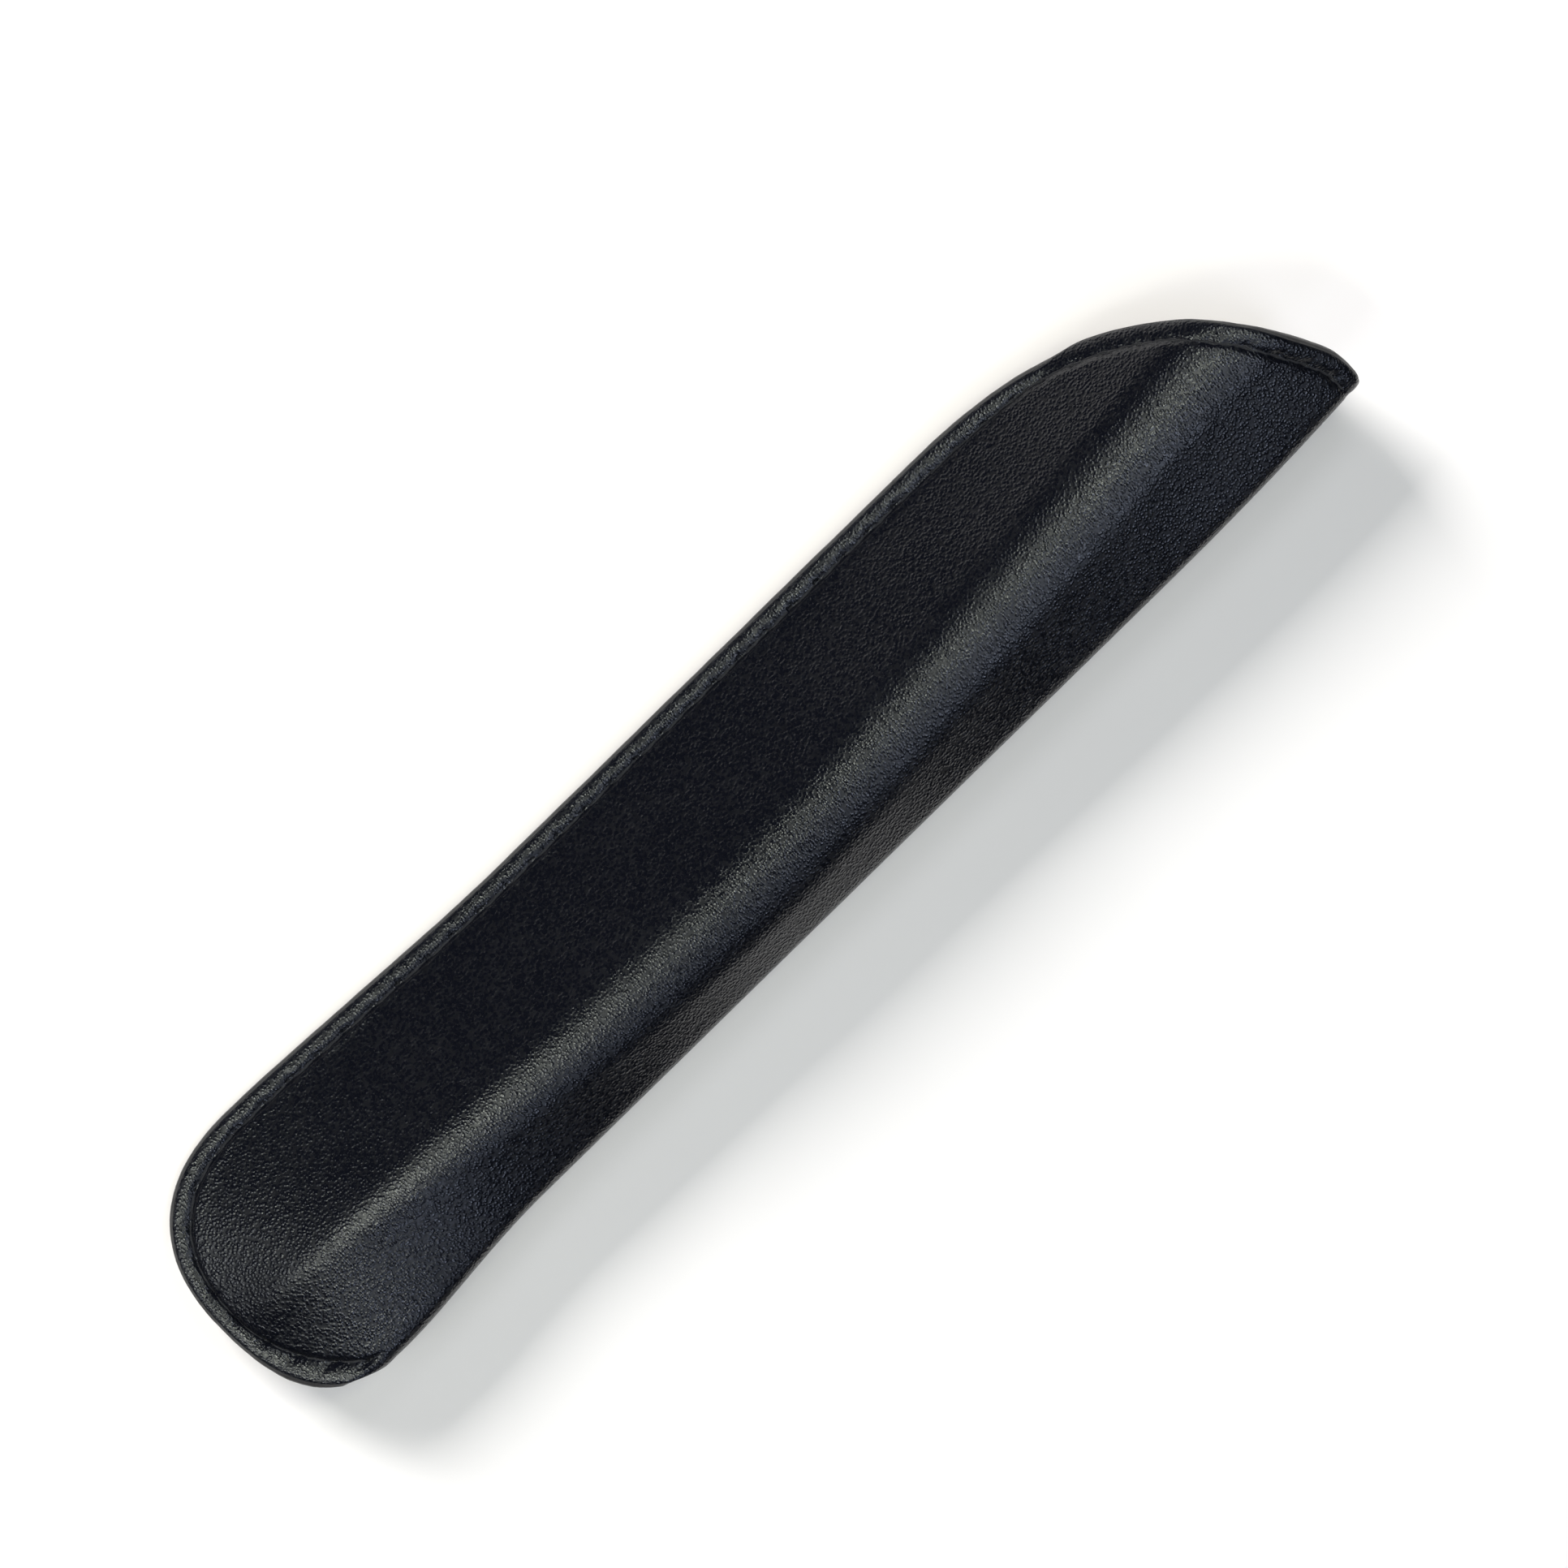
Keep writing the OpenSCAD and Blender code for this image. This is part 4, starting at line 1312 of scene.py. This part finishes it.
class SLEEVE_OT_lining(bpy.types.Operator):
    """Make the woven lining, glued to the skin's inside"""

    bl_idname = "sleeve.lining"
    bl_label = "Lining"

    def execute(self, context):
        grid = Grid(LINING_STEP, LINING_INSETS)
        piece = sheet_between("lining_sheet", grid, 0.0, LINING_T)
        place(piece, lining_finish(), "lining", "lining")
        declare(grid)
        return {"FINISHED"}


class SLEEVE_OT_stiffeners(bpy.types.Operator):
    """Make the two fibre boards between the skin and the lining"""

    bl_idname = "sleeve.stiffeners"
    bl_label = "Stiffeners"

    def execute(self, context):
        grid = Grid(BOARD_STEP, BOARD_INSETS)
        board = board_finish()
        for word, side in (("front", 1), ("back", -1)):
            piece = panel_sheet(f"{word}_board", grid, LINING_T, LINING_T + STIFFENER_T, side)
            place(piece, board, "stiffener", f"stiffener_{word}")
        return {"FINISHED"}


class SLEEVE_OT_edges(bpy.types.Operator):
    """Paint the cut edges of the side, the bottom and the mouth"""

    bl_idname = "sleeve.edges"
    bl_label = "Edge paint"

    def execute(self, context):
        paint = paint_finish()
        place(side_bead("side_edge_bead"), paint, "edge_paint", "side_edge_paint")
        place(mouth_bead("mouth_edge_bead"), paint, "edge_paint", "mouth_edge_paint")
        return {"FINISHED"}


class SLEEVE_OT_stitches(bpy.types.Operator):
    """Sew the side seam through both panels, and the row along the mouth"""

    bl_idname = "sleeve.stitches"
    bl_label = "Stitches"

    def execute(self, context):
        sewing = context.scene.sleeve_sewing
        lines = Stitching(sewing.pitch / MM)
        thread = thread_finish()
        radius = sewing.thread / MM / 2
        crown = WALL - sewing.groove / MM - 0.5 * radius
        low, middle = radius + THREAD_GAP, WALL / 2
        rows = [
            ("side_needle_row", lines.side, low, crown, 1.0, "side_seam_needle_thread"),
            ("side_bobbin_row", lines.side, low, crown, -1.0, "side_seam_bobbin_thread"),
            ("mouth_needle_row", lines.hem, middle + low, crown, 1.0, "mouth_needle_thread"),
            ("mouth_bobbin_row", lines.hem, middle - low, BOBBIN_TOP, 1.0, "mouth_bobbin_thread"),
        ]
        for name, line, hole, top, mirror, node in rows:
            place(sew(name, line, hole, top, mirror), thread, "thread", node)
        return {"FINISHED"}


class SLEEVE_OT_stage(bpy.types.Operator):
    """Set up the camera, the lamps, the pale floor and the white surroundings"""

    bl_idname = "sleeve.stage"
    bl_label = "Stage"

    def execute(self, context):
        set_camera()
        set_lamps(context.scene.sleeve_light)
        set_floor()
        set_world()
        context.scene.view_settings.view_transform = "Standard"
        return {"FINISHED"}


class SLEEVE_PT_panel(bpy.types.Panel):
    """Lists the settings, and the sleeve's pieces in the order in which they are made"""

    bl_idname = "SLEEVE_PT_panel"
    bl_label = "Pen sleeve"
    bl_space_type = "VIEW_3D"
    bl_region_type = "UI"
    bl_category = "Sleeve"

    def draw(self, context):
        column = self.layout.column()
        for group_name, kind in SETTINGS.items():
            for key in kind.__annotations__:
                column.prop(getattr(context.scene, group_name), key)
        for step in STEPS:
            column.operator(step.bl_idname)


STEPS = (
    SLEEVE_OT_skin,
    SLEEVE_OT_lining,
    SLEEVE_OT_stiffeners,
    SLEEVE_OT_edges,
    SLEEVE_OT_stitches,
    SLEEVE_OT_stage,
)
SETTINGS = {
    "sleeve_sewing": SleeveSewing,
    "sleeve_finish": SleeveFinish,
    "sleeve_light": SleeveLight,
}


def declare(grid):
    """Works out the width and the area that a folded sheet was cut to, and keeps neither."""
    width = 2 * grid.flat()[:, 0].max()
    cut_area(grid)


def cut_area(grid):
    """Area of both panels and the fold, in square metres, from the front half's quads."""
    p = grid.half(WALL / 2)[grid.quads]
    halves = np.cross(p[:, 2] - p[:, 0], p[:, 3] - p[:, 1])
    return float(np.linalg.norm(halves, axis=1).sum() * MM * MM)


def stand(made, axes, aim, towards, distance):
    """Turns a lamp or the camera to three axes, and stands it at a distance in metres, in the
    direction towards, from the point aim of the sleeve's frame."""
    spot = Vector(lay(np.array(aim, float), -math.inf)) + distance * towards
    rows = [[*(axis[i] for axis in axes), spot[i]] for i in range(3)]
    made.matrix_world = Matrix([*rows, [0, 0, 0, 1]])


def set_camera():
    """Stands the camera over the middle of the picture, square to the sleeve's plane, with the
    sleeve running up to the right."""
    data = bpy.data.cameras.new("photo_camera")
    data.lens, data.sensor_width = CAMERA_LENS, 36
    data.clip_start, data.clip_end = 0.01, 20
    camera = put("photo_camera", data)
    c, s = math.cos(CAMERA_TURN), math.sin(CAMERA_TURN)
    axes = [Vector(turn(np.array(v))) for v in ((s, c, 0.0), (-c, s, 0.0), (0.0, 0.0, 1.0))]
    stand(camera, axes, (*CAMERA_AIM, 0.0), axes[2], CAMERA_DISTANCE * MM)
    bpy.context.scene.camera = camera


def lamp(name, aim, towards, distance, size, power, colour, glossy=True):
    """An area lamp that looks at aim from the direction towards, both in the sleeve's frame,
    with its length along the sleeve."""
    data = bpy.data.lights.new(name, "AREA")
    data.shape = "RECTANGLE"
    data.size, data.size_y = size
    data.energy, data.color = power, colour
    back = Vector(turn(unit(np.array(towards, float))))
    along = Vector(turn(np.array([0.0, 1.0, 0.0])))
    across = along.cross(back).normalized()
    made = put(name, data)
    stand(made, (across, back.cross(across), back), aim, back, distance)
    made.visible_glossy = glossy
    made.visible_camera = False


def set_lamps(level):
    """The lamps: a key from the seam's side that casts the shadow, and two fans of small ones,
    over the mouth and the bottom, that draw the long highlight."""
    size = (KEY_SIDE, KEY_SIDE)
    lamp("key", KEY_AIM, KEY_TOWARDS, KEY_DISTANCE, size, level.key, (1, 1, 1), False)
    for y, lean, width, power, colour in GLINT_LAMPS:
        towards = (math.sin(math.radians(lean)), 0, math.cos(math.radians(lean)))
        size, power = (width, GLINT_LENGTH), power * level.glint
        lamp(f"glint_{y}_{lean}", (GLINT_X, y, 0), towards, GLINT_HEIGHT, size, power, colour)


def set_floor():
    """The floor: pale paper that the lamps light nearly to white, with slight spots and a faint
    light of its own to the camera and in reflections."""
    x, z = FLOOR_HALF, FLOOR_Z
    points = np.array([[-x, -x, z], [x, -x, z], [x, x, z], [-x, x, z]])
    floor = make_mesh("pale_floor", points, [[0, 1, 2, 3]])
    plain = {"Specular_IOR_Level": 0.0, "Emission_Color": (1, 1, 1, 1)}
    made, tree, shader, where = finish("pale_floor", 0.9, **plain)
    ray = tree.add("ShaderNodeLightPath").outputs
    seen = tree.math("MAXIMUM", ray["Is Camera Ray"], ray["Is Glossy Ray"])
    seen = tree.math("MAXIMUM", seen, ray["Is Transmission Ray"])
    paper = tree.span(tree.noise(where, PAPER_SPOTS, 3.0), *NOISE_SPAN)
    tree.join(tree.blend(paper, FLOOR_DARK, FLOOR_LIGHT), shader.inputs["Base Color"])
    tree.join(tree.times(seen, FLOOR_SHINE), shader.inputs["Emission Strength"])
    floor.data.materials.append(made)


def set_world():
    """Dim light all round, and white where the camera looks past the floor."""
    world = bpy.data.worlds.new("surroundings")
    bpy.context.scene.world = world
    world.use_nodes = True
    tree = Tree(world.node_tree)
    ray = tree.add("ShaderNodeLightPath").outputs
    strength = tree.span(ray["Is Camera Ray"], 0.0, 1.0, WORLD_LIGHT, 1.0)
    colour = tree.blend(ray["Is Camera Ray"], WORLD_COLOUR, (1, 1, 1, 1))
    sky = tree.add("ShaderNodeBackground", {"Color": colour, "Strength": strength})
    tree.add("ShaderNodeOutputWorld", {"Surface": sky.outputs[0]})


def register():
    """Registers the settings, the operators and the panel."""
    for key, kind in SETTINGS.items():
        bpy.utils.register_class(kind)
        setattr(bpy.types.Scene, key, PointerProperty(type=kind))
    for kind in (*STEPS, SLEEVE_PT_panel):
        bpy.utils.register_class(kind)


def unregister():
    """Takes back what register did."""
    for kind in (SLEEVE_PT_panel, *STEPS[::-1]):
        bpy.utils.unregister_class(kind)
    for key, kind in SETTINGS.items():
        delattr(bpy.types.Scene, key)
        bpy.utils.unregister_class(kind)


def main():
    register()
    bpy.ops.sleeve.skin()
    bpy.ops.sleeve.lining()
    bpy.ops.sleeve.stiffeners()
    bpy.ops.sleeve.edges()
    bpy.ops.sleeve.stitches()
    bpy.ops.sleeve.stage()


if __name__ == "__main__":
    main()
